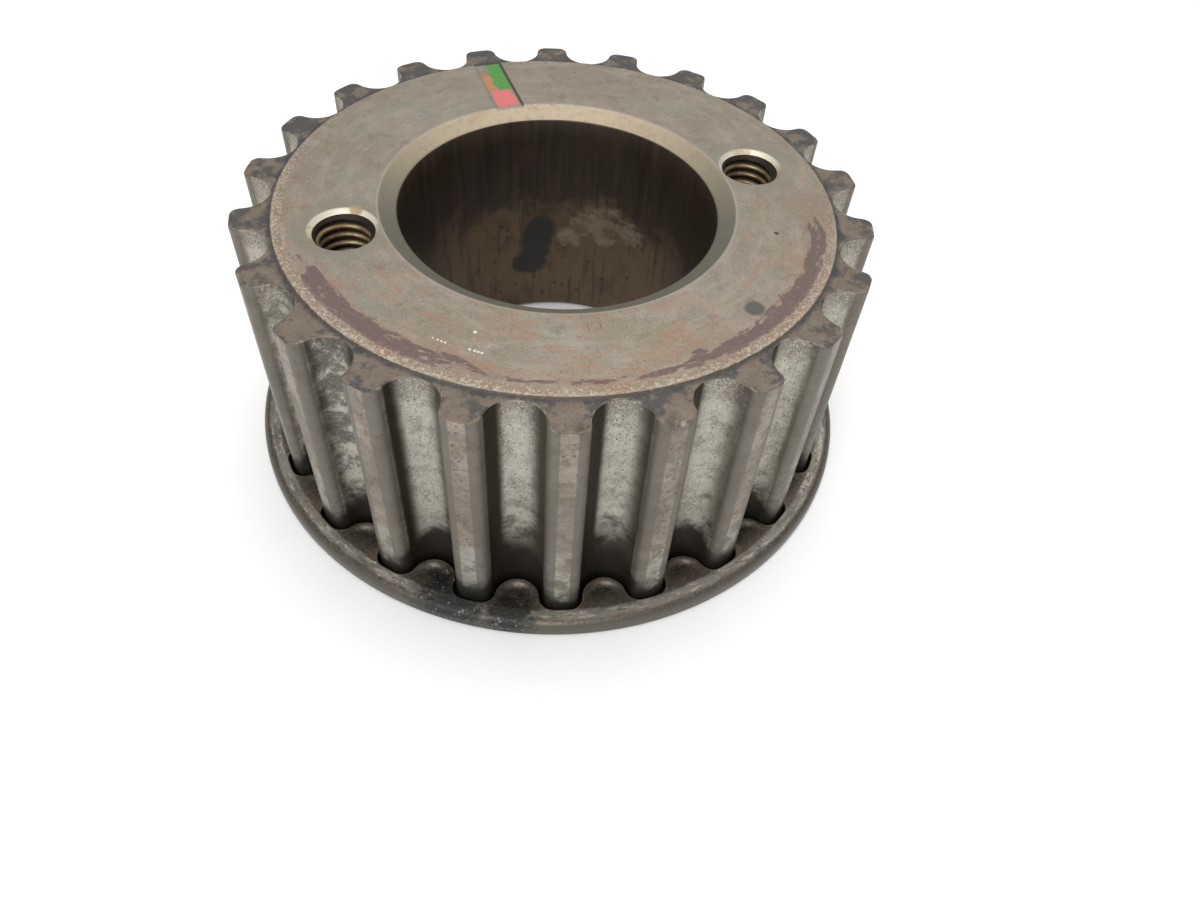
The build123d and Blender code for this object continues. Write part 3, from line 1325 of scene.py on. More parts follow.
@dataclass(frozen=True)
class FaceFinish(Finish):
    """The machined clamping face: warm grey-beige, with dried oil and a crust near its edge."""

    paint: TimingPaint | None = None
    face_radius: float = 28.7
    bore_radius: float = 16.5
    lead_radius: float = 18.35
    halo_reach: float = 5.3
    hole_radius: float = 22.0
    height: float = 28.75
    beige: Colour = seen(146, 134, 120)
    green_grey: Colour = seen(128, 128, 114)
    brown: Colour = seen(132, 116, 98)
    pale: Colour = seen(162, 154, 140)
    stain: Colour = seen(100, 82, 78)
    crust: Colour = seen(196, 188, 172)
    rust: Colour = seen(150, 112, 88)
    cream: Colour = seen(168, 154, 130)
    cone_grey: Colour = seen(112, 110, 96)
    dark: Colour = seen(56, 52, 46)
    white: Colour = seen(222, 218, 208)
    # painted light: the colour of the countersinks' far wall, which faces the light
    painted_lit_wall: Colour = seen(226, 219, 200)
    ochre: Colour = seen(178, 152, 108)
    step_shadow: Colour = seen(66, 64, 62)
    cone_rust: Colour = seen(160, 130, 104)
    mouth_oil: Colour = seen(82, 68, 50)
    tan: Colour = seen(160, 138, 106)
    spot_grey: Colour = seen(82, 82, 78)

    def look(self, wiring: Wiring, effects: Effects) -> Look:
        """Paints the face from the mottle up: cone, countersinks with a painted highlight on their far wall,
        oil, crust, marks and paint.
        """
        position, radius, way, around = wiring.take(effects.place, "Position", "Radius", "Way", "Around")
        grain = wiring.group(effects.grain, position=position, mottle=0.34, pore_size=0.16)
        colour = wiring.layers(
            self.beige,
            (self.green_grey, grain.outputs["Mottle"], 0.8),
            (self.brown, wiring.patches(position, 0.12, 0.42, 0.6), 0.65),
            (self.pale, wiring.patches(around, 0.22, 0.46, 0.64), 0.4),
        )
        front = toward(wiring, way, 262, 50, 115)
        colour = wiring.layers(
            colour,
            (self.rust, wiring.patches(around, 0.2, 0.5, 0.6), front, 0.5),
            (self.stain, wiring.patches(position, 0.5, 0.58, 0.66), 0.35),
            (self.crust, wiring.patches(position, 2.6, 0.6, 0.7), front, 0.4),
            (self.pale, grain.outputs["Fine"], 0.35),
            (self.dark, grain.outputs["Pores"], 0.5),
        )

        for side in (-1, 1):
            centre = (side * self.hole_radius, 0.0, self.height)
            halo = wiring.effect(
                effects.spot, position=position, centre=centre, reach=self.halo_reach, ragged=0.04, soft=0.1
            )
            colour = wiring.over(colour, self.green_grey, halo, 0.5)
        recess = wiring.channel("recess")
        # painted light: the countersinks' far wall, which faces the light, is painted paler than their near
        # wall
        lit_far_side = wiring.between(wiring.parts(position)[1], -2.2, 1.2)
        wall = wiring.mix(lit_far_side, self.cream, self.painted_lit_wall)
        colour = wiring.over(colour, wall, recess, 0.9)
        ochre = wiring.both(recess, wiring.patches(position, 0.5, 0.52, 0.64))
        colour = wiring.over(colour, self.ochre, ochre, 0.6)

        colour = self.lead_in(wiring, colour, position, radius, way)
        colour, oil = self.dried_oil(wiring, effects, colour, radius, way, around)
        colour, crust = self.edge_crust(wiring, colour, position, radius, way, around)
        colour = self.marks(wiring, effects, colour, position, radius, way, around)
        if self.paint:
            colour = self.paint.over(wiring, position, colour)

        worn = wiring.effect(effects.wear, position=position, edge=wiring.channel("edge"), amount=-0.2)
        colour = wiring.over(colour, self.crust, worn, 0.2)
        step = wiring.between(radius, self.face_radius - 0.08, self.face_radius + 0.02)
        colour = wiring.over(colour, self.step_shadow, step, 0.8)

        lines = wiring.effect(effects.lay, along=radius, lines=7.0)
        relief = wiring.line(lines, 0.6, grain.outputs["Height"])
        relief = wiring.line(crust, 1.6, relief)
        rough = wiring.line(grain.outputs["Fine"], 0.12, 0.5)
        metal = wiring.line(oil, -0.35, 0.55)
        return Look(colour, rough, metal, relief)

    def lead_in(self, wiring: Wiring, colour: Paint, position: Socket, radius: Socket, way: Socket) -> Socket:
        """The turned cone into the bore: cream at the back and grey at the front, painted light and shade for
        how each side faces the light, dark at its mouth.
        """
        cone = wiring.between(radius, self.lead_radius + 0.03, self.lead_radius - 0.07)
        # painted light and shade: the back of the cone, which faces the light, is painted cream, and the
        # front, which faces away, grey
        back = toward(wiring, way, 75, 30, 112)
        shade = wiring.mix(back, self.cone_grey, self.cream)
        shade = wiring.over(shade, self.cone_rust, wiring.patches(position, 0.35, 0.5, 0.64), back, 0.5)
        shade = wiring.over(shade, self.green_grey, wiring.patches(position, 1.4, 0.5, 0.64), 0.35)
        colour = wiring.mix(cone, colour, shade)
        mouth = wiring.between(radius, self.bore_radius + 0.2, self.bore_radius + 0.02)
        colour = wiring.over(colour, self.mouth_oil, mouth, 0.7)
        rim = wiring.both(
            wiring.between(radius, self.lead_radius - 0.08, self.lead_radius + 0.04),
            wiring.between(radius, self.lead_radius + 0.3, self.lead_radius + 0.1),
        )
        return wiring.over(colour, self.pale, rim, 0.5)

    def dried_oil(
        self, wiring: Wiring, effects: Effects, colour: Paint, radius: Socket, way: Socket, around: Socket
    ) -> tuple[Socket, Socket]:
        """Ragged purple-brown fragments of dried oil, broad in two sectors and thin at the front."""
        left, right = toward(wiring, way, 212, 14, 42), toward(wiring, way, 306, 20, 48)
        front = toward(wiring, way, 262, 60, 110)
        broad = wiring.both(
            wiring.between(radius, 23.9, 26.6),
            wiring.between(radius, 28.4, 27.4),
            wiring.maths("ADD", left, right, clamp=True),
        )
        thin = wiring.both(
            wiring.between(radius, 25.4, 27.1), wiring.between(radius, 28.2, 27.2), front, 0.92
        )
        strength = wiring.maths("MAXIMUM", broad, thin)
        oil = wiring.effect(effects.fragments, around=around, strength=strength, size=3.4)
        haze = wiring.both(strength, wiring.patches(around, 0.6, 0.42, 0.62))
        colour = wiring.over(colour, self.rust, haze, 0.35)
        return wiring.over(colour, self.stain, oil, wiring.patches(around, 2.0, 0.3, 0.5, 0.6, 1.0)), oil

    def edge_crust(
        self, wiring: Wiring, colour: Paint, position: Socket, radius: Socket, way: Socket, around: Socket
    ) -> tuple[Socket, Socket]:
        """White and rusty crust just inside the face's edge, thickest at the front."""
        front = toward(wiring, way, 240, 62, 118)
        band = wiring.between(radius, self.face_radius - 1.5, self.face_radius - 0.5)
        flakes = wiring.both(wiring.patches(position, 3.4, 0.5, 0.58), band, front)
        line = wiring.both(
            wiring.between(radius, self.face_radius - 0.5, self.face_radius - 0.3),
            wiring.between(radius, self.face_radius, self.face_radius - 0.12),
            wiring.patches(around, 1.6, 0.46, 0.56),
            front,
            0.6,
        )
        crust = wiring.maths("MAXIMUM", flakes, line)
        colour = wiring.over(colour, self.rust, band, front, wiring.patches(around, 1.1, 0.48, 0.58), 0.65)
        return wiring.over(colour, self.crust, crust, 0.72), crust

    def marks(
        self, wiring: Wiring, effects: Effects, colour: Paint,
        position: Socket, radius: Socket, way: Socket, around: Socket,
    ) -> Socket:
        """Single spots and knocks on the face, and short radial scratches beside the bore."""
        spots = (
            (11.96, -21.65, 1.15, self.spot_grey),
            (19.26, -11.77, 0.3, self.dark),
            (-20.3, 2.8, 0.8, self.tan),
            (-13.5, -17.8, 0.2, self.white),
        )
        for x, y, reach, shade in spots:
            spot = wiring.effect(
                effects.spot, position=position, centre=(x, y, self.height), reach=reach, ragged=0.1, soft=0.3
            )
            colour = wiring.over(colour, shade, spot, 0.9)
        for start, end in (((-17.2, -17.5), (-16.3, -18.4)), ((-14.5, -19.8), (-13.6, -20.5))):
            for share in (0.0, 0.4, 0.7, 1.0):
                x, y = (first + (last - first) * share for first, last in zip(start, end))
                nick = wiring.effect(
                    effects.spot, position=position, centre=(x, y, self.height),
                    reach=0.15, ragged=0.3, soft=0.3,
                )
                colour = wiring.over(colour, self.white, nick, 0.8)
        long = wiring.scaled(around, (1.0, 1.0, 0.05))
        scratches = wiring.both(
            wiring.patches(long, 2.2, 0.58, 0.66),
            wiring.between(radius, self.lead_radius, self.lead_radius + 0.3),
            wiring.between(radius, self.lead_radius + 3.0, self.lead_radius + 1.5),
            toward(wiring, way, 267, 6, 10),
        )
        return wiring.over(colour, self.dark, scratches, 0.75)


@dataclass(frozen=True)
class RimFinish(Finish):
    """The rim and tooth tops, as pressed: brown-grey skin with dark blue-grey patches."""

    face_radius: float = 28.7
    skin: Colour = seen(112, 101, 88)
    patch: Colour = seen(70, 71, 71)
    pale: Colour = seen(136, 126, 110)
    dirt_and_shade: Colour = seen(58, 59, 61)
    glint: Colour = seen(176, 168, 150)
    rust: Colour = seen(104, 84, 74)
    pore: Colour = seen(46, 42, 38)

    def look(self, wiring: Wiring, effects: Effects) -> Look:
        """Paints the skin, its patches, the grime and painted shade at the foot of the step, and the worn
        edges painted pale as glints.
        """
        position, radius, way = wiring.take(effects.place, "Position", "Radius", "Way")
        grain = wiring.group(effects.grain, position=position, mottle=0.7, pore_size=0.2)
        cloud = wiring.noise(position, 0.42, 5.0, 0.66)
        back = toward(wiring, way, 80, 50, 130)
        patches = wiring.between(wiring.line(back, 0.08, cloud), 0.48, 0.6)
        colour = wiring.layers(
            self.skin,
            (self.pale, grain.outputs["Fine"], 0.5),
            (self.rust, grain.outputs["Mottle"], 0.45),
            (self.patch, patches, 0.88),
            (self.pore, grain.outputs["Pores"], 0.5),
        )
        # grime and painted shade: darker at the foot of the step up to the raised face
        foot = wiring.between(
            wiring.line(cloud, -1.6, radius), self.face_radius, self.face_radius - 0.7
        )
        colour = wiring.over(colour, self.dirt_and_shade, foot, 0.8)
        # worn edges painted pale as glints: partly wear and partly a painted highlight
        worn = wiring.effect(effects.wear, position=position, edge=wiring.channel("edge"), amount=-0.02)
        colour = wiring.over(colour, self.glint, worn, 0.75)
        rough = wiring.line(worn, -0.2, 0.62)
        return Look(colour, rough, 0.4, grain.outputs["Height"])


@dataclass(frozen=True)
class TeethFinish(Finish):
    """The belt teeth: turned lands, belt-rubbed groove bottoms with a painted reflection and painted shade,
    and grease and painted shade towards the flange.
    """

    land: Colour = seen(150, 139, 126)
    floor_lit_land: Colour = seen(166, 165, 156)
    strip: Colour = seen(104, 101, 92)
    brown: Colour = seen(112, 98, 84)
    rubbed: Colour = seen(184, 181, 168)
    left_side_shade: Colour = seen(52, 42, 32)
    right_side_shade: Colour = seen(84, 82, 70)
    grease_and_shade: Colour = seen(30, 27, 23)
    worn_edge_glint: Colour = seen(188, 180, 164)
    middle_land: Colour = seen(116, 108, 95)
    pore: Colour = seen(64, 57, 49)
    speck: Colour = seen(66, 58, 50)
    side_shade_grain: Colour = seen(40, 34, 28)
    dull: Colour = seen(150, 145, 132)
    groove_top: Colour = seen(122, 114, 102)
    polish: Colour = seen(212, 209, 198)
    pit: Colour = seen(66, 60, 52)
    flange_top: float = 1.9
    band_half_width: float = 1.3
    band_light_drift: float = 1.9
    band_light_angle: float = 337.0

    def look(self, wiring: Wiring, effects: Effects) -> Look:
        """Paints the lands, then the grooves, then the grease, the dark foot of the teeth that is grease and
        painted shade, and the worn edges, painted pale as glints, over both.
        """
        position, height, way = wiring.take(effects.place, "Position", "Height", "Way")
        deep, edge = wiring.channel("deep"), wiring.channel("edge")
        grain = wiring.group(effects.grain, position=position, mottle=0.55, pore_size=0.15)
        cloud = wiring.noise(position, 0.45, 5.0, 0.65)
        shake = wiring.maths("SUBTRACT", cloud, 0.5)
        in_groove = wiring.between(deep, 0.3, 0.42)

        land = self.lands(wiring, effects, grain, position, height, shake)
        groove, rubbed, pits = self.grooves(wiring, effects, grain, position, height, way, shake)
        colour = wiring.mix(in_groove, land, groove)

        crusted = wiring.both(
            in_groove, toward(wiring, way, 206, 8, 20), wiring.patches(position, 0.5, 0.42, 0.54)
        )
        colour = wiring.over(colour, self.grease_and_shade, crusted, 0.6)
        smear = wiring.both(wiring.between(cloud, 0.54, 0.66), wiring.between(height, 22.0, 8.0))
        colour = wiring.over(colour, self.grease_and_shade, smear, in_groove, 0.65)
        # grease and painted shade: the teeth darken just above the flange, reaching higher in the groove
        # bottoms where the gap is deepest
        line = wiring.line(deep, 3.4, self.flange_top + 1.2)
        above = wiring.maths("SUBTRACT", wiring.line(shake, 6.0, height), line)
        dirt_and_shade = wiring.between(above, 2.0, -0.3)
        colour = wiring.over(colour, self.grease_and_shade, dirt_and_shade, 0.93)
        # worn edges painted pale: partly wear and partly a painted highlight
        worn = wiring.effect(effects.wear, position=position, edge=edge, amount=-0.04)
        colour = wiring.over(colour, self.worn_edge_glint, worn, 0.6)

        on_land = wiring.maths("SUBTRACT", 1.0, in_groove)
        lines = wiring.effect(effects.lay, along=height, lines=5.0)
        relief = wiring.line(wiring.both(lines, on_land), 0.7, grain.outputs["Height"])
        relief = wiring.line(wiring.both(pits, in_groove), -1.2, relief)
        rough = wiring.blend(dirt_and_shade, wiring.blend(rubbed, 0.52, 0.42), 0.36)
        return Look(colour, rough, wiring.blend(dirt_and_shade, 0.62, 0.2), relief)

    def lands(
        self, wiring: Wiring, effects: Effects, grain: bpy.types.Node,
        position: Socket, height: Socket, shake: Socket,
    ) -> Socket:
        """The tooth tips that the belt runs on: pinkish beige above, painted paler below as a reflection of
        the pale floor, with dark specks.
        """
        # painted light: the lower part of the lands is painted paler, as lit by light off the floor
        low = wiring.between(wiring.line(shake, 14.0, height), 12.0, 6.5)
        colour = wiring.mix(low, self.land, self.floor_lit_land)
        level = wiring.line(shake, 9.0, height)
        middle = wiring.both(wiring.between(level, 22.5, 19.0), wiring.between(level, 9.0, 13.0))
        colour = wiring.over(colour, self.middle_land, middle, 0.7)
        sideways = wiring.scaled(position, (0.35, 0.35, 2.2))
        colour = wiring.layers(
            colour,
            (self.brown, wiring.patches(sideways, 0.9, 0.46, 0.62), 0.35),
            (self.brown, wiring.patches(position, 0.5, 0.47, 0.58), 0.75),
            (self.rubbed, grain.outputs["Mottle"], 0.22),
            (self.pore, grain.outputs["Pores"], 0.5),
        )
        specks = wiring.effect(effects.specks, position=position, spacing=0.4, cover=0.3, patch=2.2)
        colour = wiring.over(colour, self.speck, specks, 0.55)
        sides = wiring.between(wiring.channel("bend"), 0.15, 0.75)
        return wiring.over(colour, self.strip, sides, 0.75)

    def grooves(
        self, wiring: Wiring, effects: Effects, grain: bpy.types.Node,
        position: Socket, height: Socket, way: Socket, shake: Socket,
    ) -> tuple[Socket, Socket, Socket]:
        """The grooves: sides painted dark as shade, the left darker than the right, and a pale band,
        belt-rubbed and partly a painted reflection, which drifts across them round the body.
        """
        across = wiring.channel("across")
        # painted shade: the groove sides are dark, the left side darker than the right, for how the light
        # falls into the groove
        side = wiring.mix(wiring.between(across, -0.4, 0.4), self.left_side_shade, self.right_side_shade)
        side = wiring.over(side, self.side_shade_grain, grain.outputs["Fine"], 0.45)
        # painted reflection: the pale band is belt-rubbed metal, and partly a reflection of the floor whose
        # place shifts across the grooves round the body as the light would
        turn = math.radians(self.band_light_angle)
        light_drift = wiring.vectors("DOT_PRODUCT", way, (math.cos(turn), math.sin(turn), 0))
        centred = wiring.line(light_drift, -self.band_light_drift, across)
        beside = wiring.line(shake, 0.3, centred)
        left_edge = wiring.between(beside, -self.band_half_width - 0.4, -self.band_half_width + 0.25)
        right_edge = wiring.between(beside, self.band_half_width + 0.75, self.band_half_width - 0.45)
        greasy = toward(wiring, way, 252, 12, 26)
        foot = wiring.line(greasy, -4.5, wiring.line(shake, 16.0, height))
        rubbed = wiring.both(left_edge, right_edge, wiring.between(foot, 3.0, 8.5))
        shine = wiring.over(self.rubbed, self.dull, grain.outputs["Mottle"], 0.55)
        shine = wiring.over(shine, self.brown, wiring.patches(position, 0.5, 0.5, 0.62), 0.45)
        top = wiring.between(wiring.line(shake, 5.0, height), 25.2, 28.0)
        shine = wiring.over(shine, self.groove_top, top, 0.7)
        shine = wiring.over(shine, self.polish, wiring.patches(position, 5.0, 0.5, 0.62), 0.55)
        pits = wiring.effect(effects.specks, position=position, spacing=0.24, cover=0.42, patch=3.0)
        fine_pits = wiring.patches(position, 6.0, 0.56, 0.68)
        pits = wiring.maths("MAXIMUM", pits, fine_pits)
        shine = wiring.over(shine, self.pit, pits, 0.6)
        return wiring.mix(rubbed, side, shine), rubbed, pits


@dataclass(frozen=True)
class BoreFinish(Finish):
    """The bore wall under old oil: dark brown, with the far wall painted paler low down as painted light, a
    wiped streak and soot.
    """

    radius: float = 16.5
    dark: Colour = seen(56, 46, 36)
    brown: Colour = seen(100, 82, 58)
    wiped: Colour = seen(136, 122, 103)
    soot: Colour = seen(38, 39, 41)
    red_brown: Colour = seen(70, 50, 44)
    pale_run: Colour = seen(80, 68, 50)
    dark_run: Colour = seen(30, 26, 22)
    red_speck: Colour = seen(54, 32, 27)
    wiped_streak: tuple[tuple[float, float, float], ...] = (
        (66, 11.6, 1.7), (60, 13.6, 2.0), (53, 15.0, 2.2), (45, 15.2, 2.2), (38, 14.2, 2.0), (50, 12.8, 1.9),
    )
    soot_blob: tuple[tuple[float, float, float], ...] = (
        (79, 12.6, 2.3), (81, 11.0, 2.4), (81, 9.4, 2.2), (83, 7.8, 2.4), (87, 7.4, 1.7),
    )

    def wall(self, degrees: float, height: float) -> tuple[float, float, float]:
        """A place on the wall, by its angle and height."""
        turn = math.radians(degrees)
        return self.radius * math.cos(turn), self.radius * math.sin(turn), height

    def blob(
        self, wiring: Wiring, effects: Effects, position: Socket, ragged: float,
        dabs: tuple[tuple[float, float, float], ...],
    ) -> Socket:
        """One ragged patch that covers several dabs, each with an angle, a height and a reach."""
        mask: Value = 0.0
        for degrees, height, reach in dabs:
            dab = wiring.effect(
                effects.spot, position=position, centre=self.wall(degrees, height),
                reach=reach, ragged=ragged, soft=0.3,
            )
            mask = wiring.maths("MAXIMUM", mask, dab)
        return mask

    def look(self, wiring: Wiring, effects: Effects) -> Look:
        """Paints the far wall paler low down and darker above as painted light and shade, the oil's vertical
        runs, the wiped streak and the sooty blob.
        """
        position, height, way = wiring.take(effects.place, "Position", "Height", "Way")
        grain = wiring.group(effects.grain, position=position, mottle=0.3, pore_size=0.2)
        runs = wiring.noise(wiring.scaled(position, (1.0, 1.0, 0.08)), 1.3, 4.0, 0.6)
        cloud = wiring.noise(position, 0.2, 4.0, 0.6)
        # painted light and shade: the far wall is paler low down, as lit by light off the floor, and darker
        # above, where it reflects the near wall
        line = wiring.line(cloud, -16.0, height)
        lit_lower_wall = wiring.both(wiring.between(line, 9.5, 6.0), toward(wiring, way, 72, 44, 80))
        colour = wiring.mix(lit_lower_wall, self.dark, self.brown)
        colour = wiring.layers(
            colour,
            (self.red_brown, wiring.patches(position, 0.3, 0.5, 0.66), 0.55),
            (self.pale_run, wiring.between(runs, 0.5, 0.68), 0.35),
            (self.dark_run, wiring.between(runs, 0.48, 0.34), 0.45),
        )
        wiped = self.blob(wiring, effects, position, 0.35, self.wiped_streak)
        swept = wiring.scaled(position, (0.7, 0.7, 1.2))
        streaks = wiring.patches(swept, 0.5, 0.36, 0.62, 0.1, 1.0)
        colour = wiring.over(colour, self.wiped, wiped, streaks, 0.85)
        spots = wiring.effect(effects.specks, position=position, spacing=0.9, cover=0.26, patch=4.0)
        colour = wiring.over(colour, self.red_speck, spots, lit_lower_wall, 0.6)
        soot = self.blob(wiring, effects, position, 0.12, self.soot_blob)
        colour = wiring.over(colour, self.soot, soot, 0.92)
        rough = wiring.line(cloud, 0.25, 0.32)
        relief = wiring.line(runs, 0.5, grain.outputs["Height"])
        return Look(colour, rough, 0.4, relief)


@dataclass(frozen=True)
class ThreadFinish(Finish):
    """The cut thread: brassy crests rubbed by screws and painted bright as a highlight, and roots full of old
    oil and painted dark as shade.
    """

    crest: Colour = seen(158, 138, 104)
    root: Colour = seen(44, 38, 30)
    rust: Colour = seen(104, 78, 54)

    def look(self, wiring: Wiring, effects: Effects) -> Look:
        """Paints root to crest, with rusty patches along the crests."""
        position = wiring.group(effects.place).outputs["Position"]
        grain = wiring.group(effects.grain, position=position, mottle=0.6, pore_size=0.12)
        # crests painted bright, partly rubbed metal and partly a painted highlight; roots painted dark,
        # partly oil and partly painted shade
        crest = wiring.between(wiring.channel("crest"), 0.3, 0.8)
        colour = wiring.mix(crest, self.root, self.crest)
        colour = wiring.over(colour, self.rust, grain.outputs["Mottle"], crest, 0.7)
        return Look(colour, wiring.blend(crest, 0.6, 0.4), 0.7, grain.outputs["Height"])


@dataclass(frozen=True)
class BackFinish(Finish):
    """The back face, which sits on a shaft shoulder: grey, lightly rubbed, oily near the bore."""

    grey: Colour = seen(122, 118, 110)
    rubbed: Colour = seen(152, 147, 136)
    oil: Colour = seen(72, 60, 46)
    outer_grey: Colour = seen(88, 76, 68)
    pore: Colour = seen(50, 46, 42)

    def look(self, wiring: Wiring, effects: Effects) -> Look:
        """Paints rubbed metal over grey, with turning lines and an oily ring at the bore."""
        position, radius, around = wiring.take(effects.place, "Position", "Radius", "Around")
        grain = wiring.group(effects.grain, position=position, mottle=0.3, pore_size=0.18)
        colour = wiring.mix(grain.outputs["Mottle"], self.grey, self.rubbed)
        oily = wiring.effect(
            effects.ring, position=around, radius=radius, inner=15.0, outer=19.5, ragged=1.0, grain=0.4
        )
        colour = wiring.over(colour, self.oil, oily, 0.65)
        outer = wiring.effect(
            effects.ring, position=around, radius=radius, inner=26.5, outer=34.0, ragged=1.0, grain=0.3
        )
        colour = wiring.over(colour, self.outer_grey, outer, 0.6)
        colour = wiring.over(colour, self.pore, grain.outputs["Pores"], 0.6)
        lines = wiring.effect(effects.lay, along=radius, lines=6.0)
        relief = wiring.line(lines, 0.8, grain.outputs["Height"])
        return Look(colour, 0.52, 0.6, relief)


@dataclass(frozen=True)
class FlangeFinish(Finish):
    """The pressed flange: dark, oily steel, with a band that the belt's edge has rubbed bright."""

    radius: float = 35.0
    tip_radius: float = 32.66
    top: float = 1.9
    steel: Colour = seen(72, 66, 58)
    warm: Colour = seen(88, 72, 56)
    dish: Colour = seen(26, 23, 20)
    band: Colour = seen(146, 142, 132)
    bright: Colour = seen(204, 194, 182)
    rolled: Colour = seen(100, 98, 90)
    lip: Colour = seen(166, 154, 132)
    soot: Colour = seen(20, 18, 17)
    pore: Colour = seen(40, 34, 30)
    chip: Colour = seen(132, 132, 134)

    def look(self, wiring: Wiring, effects: Effects) -> Look:
        """Paints the dark steel, the dishes, the rubbed band, the lip painted bright as a highlight, a
        painted shadow in the gap round the teeth, and caked grime.
        """
        position, radius, height, way, around = wiring.take(
            effects.place, "Position", "Radius", "Height", "Way", "Around"
        )
        grain = wiring.group(effects.grain, position=position, mottle=0.5, pore_size=0.2)
        colour = wiring.mix(grain.outputs["Mottle"], self.steel, self.warm)
        colour = wiring.over(colour, self.soot, wiring.patches(position, 0.35, 0.5, 0.66), 0.5)
        colour = wiring.over(colour, self.dish, wiring.between(wiring.channel("dish"), 0.25, 0.9), 0.9)

        on_top = wiring.between(height, self.top - 0.75, self.top - 0.25)
        ring = wiring.effect(
            effects.ring, position=around, radius=radius, inner=self.tip_radius + 0.35,
            outer=self.radius - 0.7, ragged=0.2, grain=0.5,
        )
        rubbed = wiring.both(ring, on_top)
        front = toward(wiring, way, 255, 55, 120)
        uneven_rub = wiring.patches(around, 0.35, 0.36, 0.56, 0.45, 1.0)
        colour = wiring.over(colour, self.band, rubbed, uneven_rub, front)
        colour = wiring.over(colour, self.band, grain.outputs["Fine"], on_top, 0.35)
        flecks = wiring.effect(effects.fragments, around=around, strength=wiring.both(rubbed, 0.76), size=1.6)
        colour = wiring.over(colour, self.bright, flecks, toward(wiring, way, 255, 60, 120), 0.6)
        specks = wiring.effect(effects.specks, position=position, spacing=0.42, cover=0.3, patch=3.0)
        colour = wiring.over(colour, self.bright, specks, rubbed, 0.6)
        colour = wiring.over(colour, self.pore, grain.outputs["Pores"], on_top, 0.7)
        uneven = wiring.line(grain.outputs["Fine"], 0.15, radius)
        roll = wiring.between(uneven, self.radius - 0.5, self.radius - 0.1)
        colour = wiring.over(colour, self.rolled, roll, 0.85)

        # painted highlight: the inner edge of the aperture is painted bright, as an edge that catches the
        # light
        lip = wiring.between(wiring.channel("edge"), 0.5, 0.95)
        broken = wiring.patches(position, 0.6, 0.4, 0.56, 0.2, 0.8)
        colour = wiring.over(colour, self.lip, lip, on_top, broken)
        # painted shadow: below the top and inside the rolled rim, the aperture wall and underside are painted
        # with the soot colour as shade in the gap round the teeth
        inside = wiring.between(height, self.top - 0.35, self.top - 0.6)
        gap = wiring.both(inside, wiring.between(radius, self.radius - 1.6, self.radius - 1.8))
        colour = wiring.over(colour, self.soot, gap, 0.9)

        caked = wiring.maths("MAXIMUM", *(
            wiring.effect(effects.spot, position=position, centre=centre, reach=reach, ragged=0.3, soft=0.5)
            for centre, reach in (((-19.5, -27.0, 1.7), 5.0), ((-14.5, -30.5, 1.7), 3.6))
        ))
        colour = wiring.over(colour, self.soot, caked, 0.9)
        chips = wiring.effect(effects.specks, position=position, spacing=0.4, cover=0.4, patch=1.5)
        colour = wiring.over(colour, self.chip, caked, chips, 0.6)

        lumps = wiring.both(caked, wiring.patches(position, 1.3, 0.4, 0.62))
        relief = wiring.line(lumps, 3.0, grain.outputs["Height"])
        rough = wiring.blend(caked, wiring.blend(rubbed, 0.4, 0.5), 0.34)
        return Look(colour, rough, wiring.blend(caked, 0.6, 0.1), relief)


# ---------------------------------------------------------------- studio
@dataclass(frozen=True)
class Lamp:
    """A round soft light aimed at the middle of the object, with its place and size in metres."""

    name: str
    place: tuple[float, float, float]
    size: float
    power: float
    aim: tuple[float, float, float] = (0, 0, 0.015)

    def build(self) -> None:
        """Makes the light and turns it towards its aim."""
        light = bpy.data.lights.new(self.name, "AREA")
        light.shape = "DISK"
        light.size = self.size
        light.energy = self.power
        lamp = bpy.data.objects.new(self.name, light)
        lamp.location = self.place
        lamp.rotation_euler = (Vector(self.aim) - Vector(self.place)).to_track_quat("-Z", "Y").to_euler()
        bpy.context.scene.collection.objects.link(lamp)


